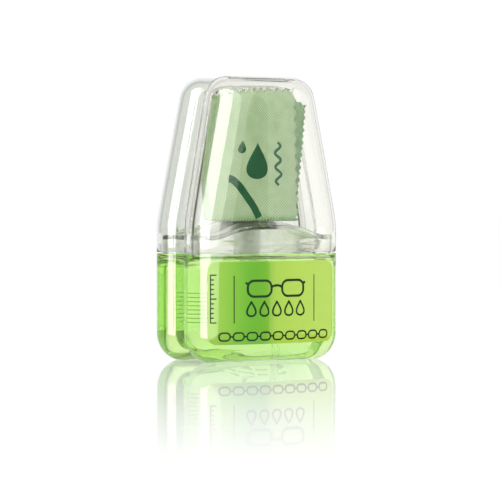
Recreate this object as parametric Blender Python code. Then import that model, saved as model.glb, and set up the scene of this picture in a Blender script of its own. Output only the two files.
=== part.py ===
"""Pocket lens cleaning spray: a two-lobed clear bottle with a pump under a clear over-cap.

The object stands on the XY plane, its front faces -Y and its pump axis is the Z axis.
Lengths are in millimetres and are turned into metres when a mesh is made.
"""

import math

import bmesh
import bpy
from mathutils import Vector

MM = 0.001

# ---- Overall size -------------------------------------------------------------------
HALF_WIDTH = 22.5        # at the bottle's side
HEIGHT = 74.0            # base to the top of the cap
PART_LINE_Z = 28.0       # ledge where the cap meets the bottle
GAP = 0.3                # clearance between separate pieces

# ---- Lobed section ------------------------------------------------------------------
SIDE_RADIUS = 3.6        # full-round edge of each lobe
LOBE_OFFSET = 7.2        # middle of a lobe's edge from the parting plane
CROWN = 4.2              # how far a lobe's face bulges beyond its edge
GROOVE_DEPTH = 3.2       # waist between the two lobes
GROOVE_FILLET = 0.6
ROUND_STEPS = 5          # facets round a lobe's edge
FACE_FRACTIONS = (0.0, 0.46, 0.48, 0.80, 0.82, 1.0)   # face columns, as parts of its half width
INNER_COLUMNS = 2 * len(FACE_FRACTIONS) - 3           # columns between a face's two edges

# ---- Outline seen from the front ----------------------------------------------------
BASE_CORNER = 7.8        # corner radius at the base
TOP_CORNER = 6.4         # corner radius at the top of the cap
CORNER_STEPS = 5
SIDE_BREAK_Z = 16.0      # level that splits the straight side of the bottle
TAPER_Z = 34.5           # the sides lean in above this height
TAPER_BLEND = 2.5        # height over which the lean builds up
SIDE_TAPER = 0.2         # half width lost per millimetre of height
OFFSET_TAPER = 0.025     # lobe offset lost per millimetre of height
CROWN_TAPER = 0.015      # crown lost per millimetre of height
CROWN_RISE = 7.5         # the crown fades out over this distance to the base or the top
FOOT_CUT = 0.35          # depth of the flat foot ground off the rounded base

# ---- Bottle -------------------------------------------------------------------------
WALL = 1.2               # of the cap, and of the bottle's shoulder and neck
BODY_WALL = 0.8          # of the bottle below the ledge
BASE_LIFT = 0.2          # extra thickness of the bottle's floor
WALL_RUN_IN = 1.6        # height below the ledge where the inside meets the straight wall
SPIGOT_INSET = 1.7       # the spigot stands this far inside the bottle's outer face
SPIGOT_WALL = 1.1
SPIGOT_EDGE_Z = 32.8     # spigot's top edge at the sides
SPIGOT_ARCH = 2.7        # its rise at the middle of the faces
ARCH_HALF_WIDTH = 16.5
SPIGOT_FILLET = 0.6
PAD_HEIGHT = 0.25        # snap pads on the spigot's faces
PAD_BOTTOM_Z = 29.0
PAD_TOP_Z = 31.6
PAD_RAMP = 0.3
SHOULDER_STEPS = 3
NECK_BASE_Z = 36.4
NECK_TOP_Z = 44.5
NECK_ROOT = 6.1
NECK_BORE = 4.9

# ---- Screw thread of neck and collar -------------------------------------------------
PITCH = 2.5
THREAD_HEIGHT = 0.7
THREAD_TURNS = 1.5
THREAD_START_Z = 38.2
STEPS_PER_PITCH = 6
COLLAR_TURNS = 1.25      # turns that free the collar
THREAD_CLEARANCE = 0.4   # between the thread's crest and the collar's root

# ---- Fluid, labels, cloth ------------------------------------------------------------
FLUID_LEVEL_Z = 27.5
FLUID_MARGIN = 0.1       # extra room between the fluid and the pieces dipped in it
LABEL_THICKNESS = 0.15
FRONT_LABEL = {"half_width": 19.0, "bottom": 4.9, "top": 26.2, "corner": 2.6}
REAR_LABEL = {"half_width": 17.5, "bottom": 7.7, "top": 23.4, "corner": 2.6}
CLOTH_WIDTH = 28.0
CLOTH_HEIGHT = 33.8
CLOTH_THICKNESS = 3.6
CLOTH_CLEARANCE = 0.8
CLOTH_BOTTOM_Z = 36.4
CLOTH_RIGHT_X = 10.8
CLOTH_EDGE_DEPTH = 3.0   # least distance from the cloth's edge to the cap's outline

# ---- Pump ---------------------------------------------------------------------------
TURN_SEGMENTS = 28
STROKE = 4.0
HOUSING_RADIUS = 3.4
HOUSING_BORE = 2.6
FLANGE_RADIUS = 6.5
FLANGE_Z = NECK_TOP_Z + 1.3
FLANGE_THICKNESS = 0.8
CHAMBER_FLOOR_Z = 27.0
TAIL_RADIUS = 2.4
TAIL_END_Z = 19.8
SEAT_Z = 23.2
BALL_RADIUS = 1.0
CHAMBER_STEP = (2.8, 4.0)    # housing steps in to its tail this far below the chamber
STEM_RADIUS = 1.45
STEM_BORE = 0.85
STEM_BOTTOM_Z = 36.5
STEM_TOP_Z = 60.8
PISTON_TOP_Z = 39.8
PLUG_RADIUS = 0.95
PLUG_LENGTH = 3.2        # below its head's top
PLUG_FLANGE_RADIUS = 2.1
PLUG_FLANGE = 0.9        # flange thickness, which the return spring pushes on
RETURN_SPRING = {"radius": 1.95, "wire": 0.4, "turns": 7}
PRECOMPRESSION_SPRING = {"radius": 2.02, "wire": 0.3, "turns": 5}
RETAINER_BOTTOM_Z = 43.7
COLLAR_RADIUS = 8.2
COLLAR_BOTTOM_Z = 37.2
COLLAR_PLATE_Z = 47.9
COLLAR_TOP_Z = 49.0
COLLAR_RIBS = 24
COLLAR_RIB_DEPTH = 0.25
COLLAR_BAND = 0.9        # plain band above and below the ribs
COLLAR_RAMP = 0.3        # height over which a rib fades into the band
STEM_HOLE_RADIUS = STEM_RADIUS + 1.1
TURRET_RADIUS = 4.6
TURRET_WALL = 0.9
TURRET_TOP_Z = 54.0
BUTTON_RADIUS = 5.6
BUTTON_BOTTOM_Z = 53.4
BUTTON_TOP_Z = 64.6
SKIRT_SPARE = 1.3        # room left in the skirt at the end of the stroke
SOCKET_DEPTH = 1.6       # stem socket below the skirt's ceiling
SOCKET_WALL = 0.75
NOZZLE_Z = 61.0
NOZZLE_RADIUS = 2.0
NOZZLE_BACK = 3.7        # the insert's rear end, from the pump axis
ORIFICE_RADIUS = 0.2
NOZZLE_WALL = 0.7
TUBE_RADIUS = 1.05
TUBE_BORE = 0.65
TUBE_FOOT = (3.2, -7.9)  # the tube ends in the front lobe
TUBE_FOOT_Z = 2.4
TUBE_END_LEAN = 0.25     # slope left at the foot, as a part of the whole shift


def clear_objects():
    for item in list(bpy.data.objects):
        bpy.data.objects.remove(item, do_unlink=True)


def material(name, colour, roughness, metallic=0.0, alpha=1.0):
    mat = bpy.data.materials.new(name)
    mat.use_nodes = True
    shader = mat.node_tree.nodes["Principled BSDF"]
    shader.inputs["Base Color"].default_value = (*colour, 1.0)
    shader.inputs["Roughness"].default_value = roughness
    shader.inputs["Metallic"].default_value = metallic
    shader.inputs["Alpha"].default_value = alpha
    return mat


def finish_mesh(name, bm, mat, origin=(0.0, 0.0, 0.0), smooth_angle=35.0):
    """Turn a bmesh in millimetres into an object whose origin is at `origin`."""
    bmesh.ops.remove_doubles(bm, verts=bm.verts, dist=1e-4)
    bmesh.ops.recalc_face_normals(bm, faces=bm.faces)
    bmesh.ops.translate(bm, verts=bm.verts, vec=-Vector(origin))
    bmesh.ops.scale(bm, verts=bm.verts, vec=(MM, MM, MM))
    mesh = bpy.data.meshes.new(name)
    bm.to_mesh(mesh)
    bm.free()
    mesh.shade_smooth()
    mesh.set_sharp_from_angle(angle=math.radians(smooth_angle))
    mesh.materials.append(mat)
    obj = bpy.data.objects.new(name, mesh)
    obj.location = Vector(origin) * MM
    bpy.context.collection.objects.link(obj)
    return obj


# ---- The lobed body shape -------------------------------------------------------------

def taper(z):
    """Distance that counts for the taper at height z, zero below TAPER_Z."""
    rise = max(0.0, z - TAPER_Z)
    return rise * rise / (rise + TAPER_BLEND)


def side_x(z):
    return HALF_WIDTH - SIDE_TAPER * taper(z)


def lobe_offset(z):
    return LOBE_OFFSET - OFFSET_TAPER * taper(z)


def crown_at(x, z):
    """Bulge of a lobe's face at (x, z), zero along the outline."""
    near_end = min(1.0, max(0.0, z) / CROWN_RISE, max(0.0, HEIGHT - z) / CROWN_RISE)
    rise = 1.0 - (1.0 - near_end) ** 2
    across = max(0.0, 1.0 - (x / side_x(z)) ** 2)
    return (CROWN - CROWN_TAPER * taper(z)) * across * rise


def edge_profile(inset):
    """Points (depth, offset, share) from a lobe's face round its edge to the groove.

    depth is measured in from the outline and offset outwards from the edge's middle.
    share is the part of the face's crown that a point follows: all of it on the face
    and none of it in the groove.
    """
    groove_start = GROOVE_DEPTH - GROOVE_FILLET
    last = -math.acos((SIDE_RADIUS - groove_start) / SIDE_RADIUS)
    wall = SIDE_RADIUS * math.sin(last)
    radius = SIDE_RADIUS - inset
    points = []
    for step in range(ROUND_STEPS + 1):
        angle = math.radians(90.0) + (last - math.radians(90.0)) * step / ROUND_STEPS
        share = 0.5 + 0.5 * math.sin(angle)
        depth = SIDE_RADIUS - radius * math.cos(angle)
        points.append((depth, radius * math.sin(angle), share))
    fillet = GROOVE_FILLET + inset
    for angle in (math.radians(45.0), math.radians(90.0)):
        depth = groove_start + fillet * math.sin(angle)
        points.append((depth, wall - GROOVE_FILLET + fillet * math.cos(angle), 0.0))
    return points


def side_frame(z):
    """Outline point and outward normal on the side wall at height z."""
    step = 0.01
    slope = (side_x(z + step) - side_x(z - step)) / (2.0 * step)
    length = math.hypot(1.0, slope)
    return side_x(z), z, 1.0 / length, -slope / length


def band_points(frame, inset):
    """Points round a lobe pair's right-hand edge, front to rear, for one outline frame."""
    x, z, nx, nz = frame
    offset = lobe_offset(z)
    half = []
    for depth, rise, share in edge_profile(inset):
        px = x - depth * nx
        pz = z - depth * nz
        half.append((px, offset + rise + share * crown_at(px, pz), pz))
    middle = (half[-1][0], 0.0, half[-1][2])
    front = [(px, -py, pz) for px, py, pz in half]
    return front + [middle] + half[::-1]


def inner_fractions():
    """Columns between a face's edges from left to right, as parts of its half width."""
    return [-f for f in FACE_FRACTIONS[-2:0:-1]] + list(FACE_FRACTIONS[:-1])


def face_row(first, sign, inset):
    """Points across a face at the height of the band's face edge, left to right."""
    edge_x, _, z = first
    row = []
    for fraction in inner_fractions():
        x = fraction * edge_x
        row.append((x, sign * (lobe_offset(z) + SIDE_RADIUS - inset + crown_at(x, z)), z))
    return row


def body_loop(frame, inset):
    """One closed loop round the body: front face, right edge, rear face, left edge."""
    right = band_points(frame, inset)
    left = [(-x, y, z) for x, y, z in right[::-1]]
    front = face_row(right[0], -1.0, inset)
    rear = face_row(right[-1], 1.0, inset)
    return front + right + rear[::-1] + left


def corner_frames(base_z):
    """Outline frames down the side and round the base corner, from the parting line."""
    centre_x = HALF_WIDTH - BASE_CORNER
    centre_z = base_z + BASE_CORNER
    frames = []
    for step in range(CORNER_STEPS + 1):
        angle = math.radians(90.0) * step / CORNER_STEPS
        nx = math.cos(angle)
        nz = -math.sin(angle)
        frames.append((centre_x + BASE_CORNER * nx, centre_z + BASE_CORNER * nz, nx, nz))
    return frames


def top_corner_centre():
    lean = math.atan(SIDE_TAPER)
    tangent_z = HEIGHT - TOP_CORNER * (1.0 - math.sin(lean))
    return side_x(tangent_z) - TOP_CORNER * math.cos(lean), HEIGHT - TOP_CORNER


def top_frames(first_z):
    """Outline frames up the tapered side from first_z and round the top corner."""
    lean = math.atan(SIDE_TAPER)
    centre_x, centre_z = top_corner_centre()
    heights = [first_z, TAPER_Z, TAPER_Z + 3.0, TAPER_Z + 9.0]
    frames = [side_frame(z) for z in heights]
    for step in range(CORNER_STEPS + 1):
        angle = lean + (math.radians(90.0) - lean) * step / CORNER_STEPS
        nx = math.cos(angle)
        nz = math.sin(angle)
        frames.append((centre_x + TOP_CORNER * nx, centre_z + TOP_CORNER * nz, nx, nz))
    return frames


def end_patch(frame, inset):
    """Inner rows of points that close the base or the top between two corner bands."""
    centre_x, z, nx, nz = frame
    return [band_points((f * centre_x, z, nx, nz), inset) for f in inner_fractions()]


def add_loop(bm, loop):
    return [bm.verts.new(point) for point in loop]


def bridge(bm, first, second):
    count = len(first)
    for i in range(count):
        j = (i + 1) % count
        bm.faces.new((first[i], first[j], second[j], second[i]))


def close_end(bm, loop, frame, inset, floor=None):
    """Close the last body loop with the straight part of the base or the top."""
    inner = INNER_COLUMNS
    band = len(band_points(frame, inset))
    right = loop[inner:inner + band]
    left = loop[2 * inner + band:][::-1]
    front = loop[:inner]
    rear = loop[inner + band:2 * inner + band][::-1]
    rows = [left]
    for column, points in enumerate(end_patch(frame, inset)):
        if floor is not None:
            points = [(x, y, max(z, floor)) for x, y, z in points]
        middle = [bm.verts.new(point) for point in points[1:-1]]
        rows.append([front[column]] + middle + [rear[column]])
    rows.append(right)
    for a, b in zip(rows, rows[1:]):
        for i in range(band - 1):
            bm.faces.new((a[i], a[i + 1], b[i + 1], b[i]))


def bag(bm, frames, inset, floor=None):
    """A lobed surface that is closed at its last frame. Returns its open first loop."""
    loops = []
    for frame in frames:
        loop = body_loop(frame, inset)
        if floor is not None:
            loop = [(x, y, max(z, floor)) for x, y, z in loop]
        loops.append(add_loop(bm, loop))
    for first, second in zip(loops, loops[1:]):
        bridge(bm, first, second)
    close_end(bm, loops[-1], frames[-1], inset, floor)
    return loops[0]


def level_loop(z, inset):
    return body_loop((HALF_WIDTH, z, 1.0, 0.0), inset)


def ring_loop(template, radius, z, mix=1.0):
    """A circle with as many points as the body loop, started at the same place.

    mix=0 keeps each point's own bearing and mix=1 spaces the points evenly.
    """
    count = len(template)
    bearings = [math.atan2(y, x) for x, y, _ in template]
    start = bearings[0]
    own = [(b - start) % (2.0 * math.pi) for b in bearings]
    first_even = -math.pi / 2.0 - 2.0 * math.pi * (INNER_COLUMNS // 2) / count
    shift = (start - first_even + math.pi) % (2.0 * math.pi) - math.pi
    points = []
    for i in range(count):
        even = 2.0 * math.pi * i / count
        angle = (1.0 - mix) * (start + own[i]) + mix * (start - shift + even)
        points.append((radius * math.cos(angle), radius * math.sin(angle), z))
    return points


# ---- Bottle, fluid and cap ---------------------------------------------------------------

def thread_lift(angle, z, start_z):
    """Height of a single-start right-hand thread at a bearing and a height, 0 to 1."""
    bearing = (angle % (2.0 * math.pi)) / (2.0 * math.pi)
    turns = (z - start_z) / PITCH - bearing
    nearest = round(turns)
    if not 0.0 <= nearest + bearing <= THREAD_TURNS:
        return 0.0
    off = abs(turns - nearest) * STEPS_PER_PITCH
    return max(0.0, min(1.0, 2.0 - off))


def thread_loops(bearings, root, height, start_z):
    """Loops up a threaded wall. A negative height makes an internal thread."""
    step = PITCH / STEPS_PER_PITCH
    low = start_z - 2.0 * step
    high = start_z + PITCH * THREAD_TURNS + 2.0 * step
    count = round((high - low) / step)
    loops = []
    for k in range(count + 1):
        z = low + (high - low) * k / count
        loop = []
        for angle in bearings:
            radius = root + height * thread_lift(angle, z, start_z)
            loop.append((radius * math.cos(angle), radius * math.sin(angle), z))
        loops.append(loop)
    return loops


def spigot_edge(x):
    arch = max(0.0, 1.0 - (x / ARCH_HALF_WIDTH) ** 2)
    return SPIGOT_EDGE_Z + SPIGOT_ARCH * arch * arch * (3.0 - 2.0 * arch)


def arched(loop, drop):
    return [(x, y, spigot_edge(x) - drop) for x, y, _ in loop]


def pad_loop(z, inset, raised):
    loop = []
    for x, y, height in level_loop(z, inset):
        side = abs(x) / (HALF_WIDTH - SIDE_RADIUS)
        on_pad = FACE_FRACTIONS[2] - 0.01 < side < FACE_FRACTIONS[3] + 0.01
        if raised and on_pad and abs(y) > LOBE_OFFSET + 1.0:
            y += math.copysign(PAD_HEIGHT, y)
        loop.append((x, y, height))
    return loop


def shoulder_loops(edge, radius, top_z, drop):
    """Loops from the spigot's arched edge in to the round neck."""
    loops = []
    for step in range(1, SHOULDER_STEPS + 1):
        part = step / SHOULDER_STEPS
        ring = ring_loop(edge, radius, top_z, part)
        ease = part * part * (3.0 - 2.0 * part)
        loop = []
        for (ax, ay, _), (bx, by, _) in zip(edge, ring):
            x = ax + (bx - ax) * part
            y = ay + (by - ay) * part
            z = (spigot_edge(ax) - drop) * (1.0 - ease) + top_z * ease
            loop.append((x, y, z))
        loops.append(loop)
    return loops


def bridge_all(bm, loops):
    made = [add_loop(bm, loop) for loop in loops]
    for first, second in zip(made, made[1:]):
        bridge(bm, first, second)
    return made


def make_bottle(mat):
    bm = bmesh.new()
    outer_frames = [side_frame(PART_LINE_Z), side_frame(SIDE_BREAK_Z)]
    outer_frames += corner_frames(-FOOT_CUT)
    outer_rim = bag(bm, outer_frames, 0.0, floor=0.0)

    spigot = SPIGOT_INSET
    eased = 0.3 * SPIGOT_FILLET
    outside = [
        level_loop(PART_LINE_Z, spigot),
        pad_loop(PAD_BOTTOM_Z - PAD_RAMP, spigot, False),
        pad_loop(PAD_BOTTOM_Z, spigot, True),
        pad_loop(PAD_TOP_Z, spigot, True),
        pad_loop(PAD_TOP_Z + PAD_RAMP, spigot, False),
        arched(level_loop(PART_LINE_Z, spigot), SPIGOT_FILLET),
        arched(level_loop(PART_LINE_Z, spigot + eased), eased),
    ]
    edge = arched(level_loop(PART_LINE_Z, spigot + SPIGOT_FILLET), 0.0)
    outside.append(edge)
    outside += shoulder_loops(edge, NECK_ROOT, NECK_BASE_Z, 0.0)

    bearings = [math.atan2(y, x) for x, y, _ in ring_loop(edge, 1.0, 0.0)]
    outside += thread_loops(bearings, NECK_ROOT, THREAD_HEIGHT, THREAD_START_Z)
    outside.append(ring_loop(edge, NECK_ROOT, NECK_TOP_Z))

    inner_inset = spigot + SPIGOT_WALL
    inner_edge = arched(level_loop(PART_LINE_Z, inner_inset), WALL)
    inside = shoulder_loops(inner_edge, NECK_BORE, NECK_BASE_Z - WALL, WALL)[::-1]
    inside = [ring_loop(edge, NECK_BORE, NECK_TOP_Z)] + inside
    inside.append(inner_edge)
    inside.append(level_loop(PART_LINE_Z, inner_inset))

    made = bridge_all(bm, outside + inside)
    bridge(bm, outer_rim, made[0])

    inner_frames = [side_frame(PART_LINE_Z - WALL_RUN_IN), side_frame(SIDE_BREAK_Z)]
    inner_frames += corner_frames(BASE_LIFT)
    bridge(bm, made[-1], bag(bm, inner_frames, BODY_WALL))
    return finish_mesh("bottle", bm, mat)


def tube_shift(z):
    """Part of the dip tube's sideways shift that is reached at height z, 0 to 1."""
    t = min(1.0, max(0.0, (TAIL_END_Z - z) / (TAIL_END_Z - TUBE_FOOT_Z)))
    return t * t * (3.0 - 2.0 * t) + TUBE_END_LEAN * (t * t * t - t * t)


def make_fluid(mat):
    """The fluid fills the bottle and leaves room for the pump, also while it is screwed out."""
    bm = bmesh.new()
    inset = BODY_WALL + GAP
    frames = [side_frame(PART_LINE_Z - WALL_RUN_IN - GAP), side_frame(SIDE_BREAK_Z)]
    frames += corner_frames(BASE_LIFT)
    rim = bag(bm, frames, inset)
    top = level_loop(FLUID_LEVEL_Z, SPIGOT_INSET + SPIGOT_WALL + FLUID_MARGIN)
    clear = GAP + FLUID_MARGIN
    step_high, step_low = CHAMBER_STEP
    holes = [
        (0.0, FLUID_LEVEL_Z, HOUSING_RADIUS + clear),
        (0.0, CHAMBER_FLOOR_Z - step_high - clear, HOUSING_RADIUS + clear),
        (0.0, CHAMBER_FLOOR_Z - step_low - clear, TAIL_RADIUS + clear),
        (0.0, TAIL_END_Z - clear, TAIL_RADIUS + clear),
    ]
    lift = PITCH * COLLAR_TURNS
    reach = math.hypot(*TUBE_FOOT)
    bottom_z = TUBE_FOOT_Z - 0.25
    steps = 6
    for step in range(1, steps + 1):
        z = TAIL_END_Z - clear + (bottom_z - TAIL_END_Z + clear) * step / steps
        near = tube_shift(z)
        far = tube_shift(z - lift)
        slope = (tube_shift(z - 0.5) - tube_shift(z + 0.5)) * reach
        radius = TUBE_RADIUS * math.hypot(1.0, slope) + GAP + 0.5 * (far - near) * reach
        holes.append((0.5 * (near + far), z, radius))
    loops = [top]
    for shift, z, radius in holes:
        cx = TUBE_FOOT[0] * shift
        cy = TUBE_FOOT[1] * shift
        loops.append([(cx + px, cy + py, z) for px, py, _ in ring_loop(top, radius, z)])
    made = bridge_all(bm, loops)
    bridge(bm, made[0], rim)
    bm.faces.new(made[-1])
    return finish_mesh("cleaning_fluid", bm, mat)


def make_cap(mat):
    bm = bmesh.new()
    first_z = PART_LINE_Z + GAP
    outer = bag(bm, top_frames(first_z), 0.0)
    inner = bag(bm, top_frames(first_z), WALL)
    bridge(bm, outer, inner)
    return finish_mesh("over_cap", bm, mat, origin=(0.0, 0.0, first_z))


def face_y(x, z, proud):
    """Distance of a lobe's face from the parting plane at (x, z)."""
    return lobe_offset(z) + SIDE_RADIUS + proud + crown_at(x, z)


def rounded_columns(label, columns, corner_columns=3):
    """Columns (x, low z, high z) of a rectangle with round corners."""
    corner = label["corner"]
    inner = label["half_width"] - corner
    step = math.radians(90.0) / corner_columns
    right = [inner + corner * math.cos(step * k) for k in range(corner_columns)]
    right += [inner * (1.0 - k / columns) for k in range(columns)]
    xs = [-x for x in right] + [0.0] + right[::-1]
    result = []
    for x in xs:
        over = max(0.0, abs(x) - inner)
        cut = corner - math.sqrt(max(0.0, corner * corner - over * over))
        result.append((x, label["bottom"] + cut, label["top"] - cut))
    return result


def make_label(name, label, sign, mat):
    """A thin film that follows a lobe's face."""
    bm = bmesh.new()
    rows = 5
    sheets = []
    for proud in (GAP, GAP + LABEL_THICKNESS):
        sheet = []
        for x, low, high in rounded_columns(label, 5):
            column = []
            for row in range(rows + 1):
                z = low + (high - low) * row / rows
                column.append(bm.verts.new((x, sign * face_y(x, z, proud), z)))
            sheet.append(column)
        sheets.append(sheet)
    inner, outer = sheets
    for sheet in sheets:
        for a, b in zip(sheet, sheet[1:]):
            for row in range(rows):
                bm.faces.new((a[row], a[row + 1], b[row + 1], b[row]))
    for a, b, c, d in zip(inner, inner[1:], outer, outer[1:]):
        bm.faces.new((a[0], b[0], d[0], c[0]))
        bm.faces.new((a[rows], b[rows], d[rows], c[rows]))
    for column in (0, -1):
        a = inner[column]
        b = outer[column]
        for row in range(rows):
            bm.faces.new((a[row], a[row + 1], b[row + 1], b[row]))
    return finish_mesh(name, bm, mat, smooth_angle=50.0)


def cap_depth(x, z):
    """Distance from (x, z) out to the cap's outline, seen from the front."""
    centre_x, centre_z = top_corner_centre()
    over_x = abs(x) - centre_x
    over_z = z - centre_z
    if over_x > 0.0 and over_z > 0.0:
        return TOP_CORNER - math.hypot(over_x, over_z)
    return min((side_x(z) - abs(x)) * math.cos(math.atan(SIDE_TAPER)), HEIGHT - z)


def cap_inside_y(x, z, inset):
    """Distance of the front lobe's inner face from the parting plane at (x, z)."""
    radius = SIDE_RADIUS - inset
    short = min(max(0.0, SIDE_RADIUS - cap_depth(x, z)), radius)
    rise = math.sqrt(radius * radius - short * short)
    share = 0.5 + 0.5 * rise / radius
    return lobe_offset(z) + rise + share * crown_at(x, z)


def cloth_left_x(z):
    """Left edge of the folded cloth: straight low down, squeezed where the cap narrows."""
    x = CLOTH_RIGHT_X - CLOTH_WIDTH
    while cap_depth(x, z) < CLOTH_EDGE_DEPTH:
        x += 0.1
    return x


def make_cloth(mat):
    """The folded cloth as one slab that leans on the cap's front wall."""
    bm = bmesh.new()
    rows = 6
    columns = 10
    inset = WALL + CLOTH_CLEARANCE
    loops = []
    for row in range(rows + 1):
        z = CLOTH_BOTTOM_Z + CLOTH_HEIGHT * row / rows
        left_x = cloth_left_x(z)
        xs = [CLOTH_RIGHT_X + (left_x - CLOTH_RIGHT_X) * k / columns for k in range(columns + 1)]
        front = [(x, -cap_inside_y(x, z, inset), z) for x in xs]
        back = [(x, y + CLOTH_THICKNESS, z) for x, y, z in front]
        loops.append(front + back[::-1])
    made = bridge_all(bm, loops)
    for loop in (made[0], made[-1]):
        count = columns + 1
        for k in range(columns):
            bm.faces.new((loop[k], loop[k + 1], loop[2 * count - 2 - k], loop[2 * count - 1 - k]))
    return finish_mesh("cleaning_cloth", bm, mat)


# ---- Turned parts ------------------------------------------------------------------------

def turned_mesh(profile, segments=TURN_SEGMENTS):
    """A closed profile of (radius, height) points turned once round the Z axis."""
    bm = bmesh.new()
    verts = [bm.verts.new((radius, 0.0, z)) for radius, z in profile]
    edges = [bm.edges.new((a, b)) for a, b in zip(verts, verts[1:] + verts[:1])]
    bmesh.ops.spin(
        bm, geom=verts + edges, cent=(0, 0, 0), axis=(0, 0, 1),
        angle=2.0 * math.pi, steps=segments, use_merge=False, use_duplicate=False,
    )
    bmesh.ops.remove_doubles(bm, verts=bm.verts, dist=1e-4)
    flat = [edge for edge in bm.edges if edge.calc_length() < 1e-6]
    bmesh.ops.dissolve_degenerate(bm, edges=flat, dist=1e-6)
    loose = [edge for edge in bm.edges if not edge.link_faces]
    bmesh.ops.delete(bm, geom=loose, context="EDGES")
    return bm


def turned(name, profile, mat, origin=(0.0, 0.0, 0.0), segments=TURN_SEGMENTS):
    return finish_mesh(name, turned_mesh(profile, segments), mat, origin)


def make_collar(mat):
    """Ribbed screw collar with an internal thread and a raised turret."""
    bm = bmesh.new()
    count = 2 * COLLAR_RIBS
    bearings = [2.0 * math.pi * k / count for k in range(count)]
    root = NECK_ROOT + THREAD_HEIGHT + THREAD_CLEARANCE
    band = COLLAR_RADIUS - COLLAR_RIB_DEPTH
    rib_edge = COLLAR_BAND + COLLAR_RAMP

    def circle(radius, z):
        return [(radius * math.cos(a), radius * math.sin(a), z) for a in bearings]

    def ribbed(radius, z):
        loop = []
        for k, a in enumerate(bearings):
            r = radius - COLLAR_RIB_DEPTH * (k % 2)
            loop.append((r * math.cos(a), r * math.sin(a), z))
        return loop

    loops = [circle(band, COLLAR_BOTTOM_Z)]
    loops.append(circle(band, COLLAR_BOTTOM_Z + COLLAR_BAND))
    loops.append(ribbed(COLLAR_RADIUS, COLLAR_BOTTOM_Z + rib_edge))
    loops.append(ribbed(COLLAR_RADIUS, COLLAR_TOP_Z - rib_edge))
    loops.append(circle(band, COLLAR_TOP_Z - COLLAR_BAND))
    loops.append(circle(band - 0.6, COLLAR_TOP_Z - 0.1))
    loops.append(circle(band - 1.2, COLLAR_TOP_Z))
    loops.append(circle(TURRET_RADIUS, COLLAR_TOP_Z))
    loops.append(circle(TURRET_RADIUS, TURRET_TOP_Z - 0.3))
    loops.append(circle(TURRET_RADIUS - 0.25, TURRET_TOP_Z))
    loops.append(circle(TURRET_RADIUS - TURRET_WALL, TURRET_TOP_Z))
    loops.append(circle(TURRET_RADIUS - TURRET_WALL, COLLAR_TOP_Z + 0.4))
    loops.append(circle(STEM_HOLE_RADIUS, COLLAR_TOP_Z))
    loops.append(circle(STEM_HOLE_RADIUS, COLLAR_PLATE_Z))
    loops.append(circle(root, COLLAR_PLATE_Z))
    loops += thread_loops(bearings, root, -THREAD_HEIGHT, THREAD_START_Z + PITCH / 2.0)[::-1]
    loops.append(circle(root, COLLAR_BOTTOM_Z))
    made = bridge_all(bm, loops)
    bridge(bm, made[-1], made[0])
    return finish_mesh("closure_collar", bm, mat, origin=(0.0, 0.0, COLLAR_BOTTOM_Z))


def make_housing(mat):
    flange_top = FLANGE_Z + FLANGE_THICKNESS
    step_high, step_low = CHAMBER_STEP
    profile = [
        (HOUSING_BORE, flange_top),
        (FLANGE_RADIUS, flange_top),
        (FLANGE_RADIUS, FLANGE_Z),
        (HOUSING_RADIUS, FLANGE_Z),
        (HOUSING_RADIUS, CHAMBER_FLOOR_Z - step_high),
        (TAIL_RADIUS, CHAMBER_FLOOR_Z - step_low),
        (TAIL_RADIUS, TAIL_END_Z),
        (TUBE_RADIUS + GAP, TAIL_END_Z),
        (TUBE_RADIUS + GAP, SEAT_Z - 0.6),
        (TUBE_BORE, SEAT_Z - 0.6),
        (TUBE_BORE, SEAT_Z),
        (BALL_RADIUS + 0.35, SEAT_Z + 0.7),
        (BALL_RADIUS + 0.35, CHAMBER_FLOOR_Z),
        (HOUSING_BORE, CHAMBER_FLOOR_Z),
    ]
    return turned("pump_housing", profile, mat)


def make_retainer(mat):
    outer = HOUSING_BORE - GAP
    inner = STEM_RADIUS + GAP
    seat = FLANGE_Z + FLANGE_THICKNESS + GAP
    profile = [
        (inner, RETAINER_BOTTOM_Z),
        (outer, RETAINER_BOTTOM_Z),
        (outer, seat),
        (FLANGE_RADIUS - 1.6, seat),
        (FLANGE_RADIUS - 1.6, seat + 0.6),
        (inner, seat + 0.6),
    ]
    return turned("housing_retainer", profile, mat)


def make_gasket(mat):
    low = NECK_TOP_Z + GAP
    high = FLANGE_Z - GAP
    inner = HOUSING_RADIUS + GAP
    profile = [
        (inner, low), (NECK_ROOT + 0.3, low), (NECK_ROOT + 0.5, low + 0.2),
        (NECK_ROOT + 0.5, high - 0.2), (NECK_ROOT + 0.3, high), (inner, high),
    ]
    return turned("neck_gasket", profile, mat)


def make_stem(mat):
    profile = [
        (STEM_BORE, STEM_BOTTOM_Z), (STEM_RADIUS, STEM_BOTTOM_Z),
        (STEM_RADIUS, STEM_TOP_Z - 0.3), (STEM_RADIUS - 0.2, STEM_TOP_Z),
        (STEM_BORE, STEM_TOP_Z),
    ]
    return turned("pump_stem", profile, mat, segments=24)


def make_piston(mat):
    inner = STEM_RADIUS + GAP
    outer = HOUSING_BORE - GAP
    low = STEM_BOTTOM_Z + 0.1
    profile = [
        (inner, low + 0.3), (outer - 0.3, low + 0.3), (outer, low),
        (outer, low + 0.8), (outer - 0.25, low + 1.3), (outer - 0.25, PISTON_TOP_Z - 1.2),
        (outer, PISTON_TOP_Z - 0.8), (outer, PISTON_TOP_Z), (outer - 0.2, PISTON_TOP_Z),
        (inner, PISTON_TOP_Z - 0.5),
    ]
    return turned("piston", profile, mat, segments=24)


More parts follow.
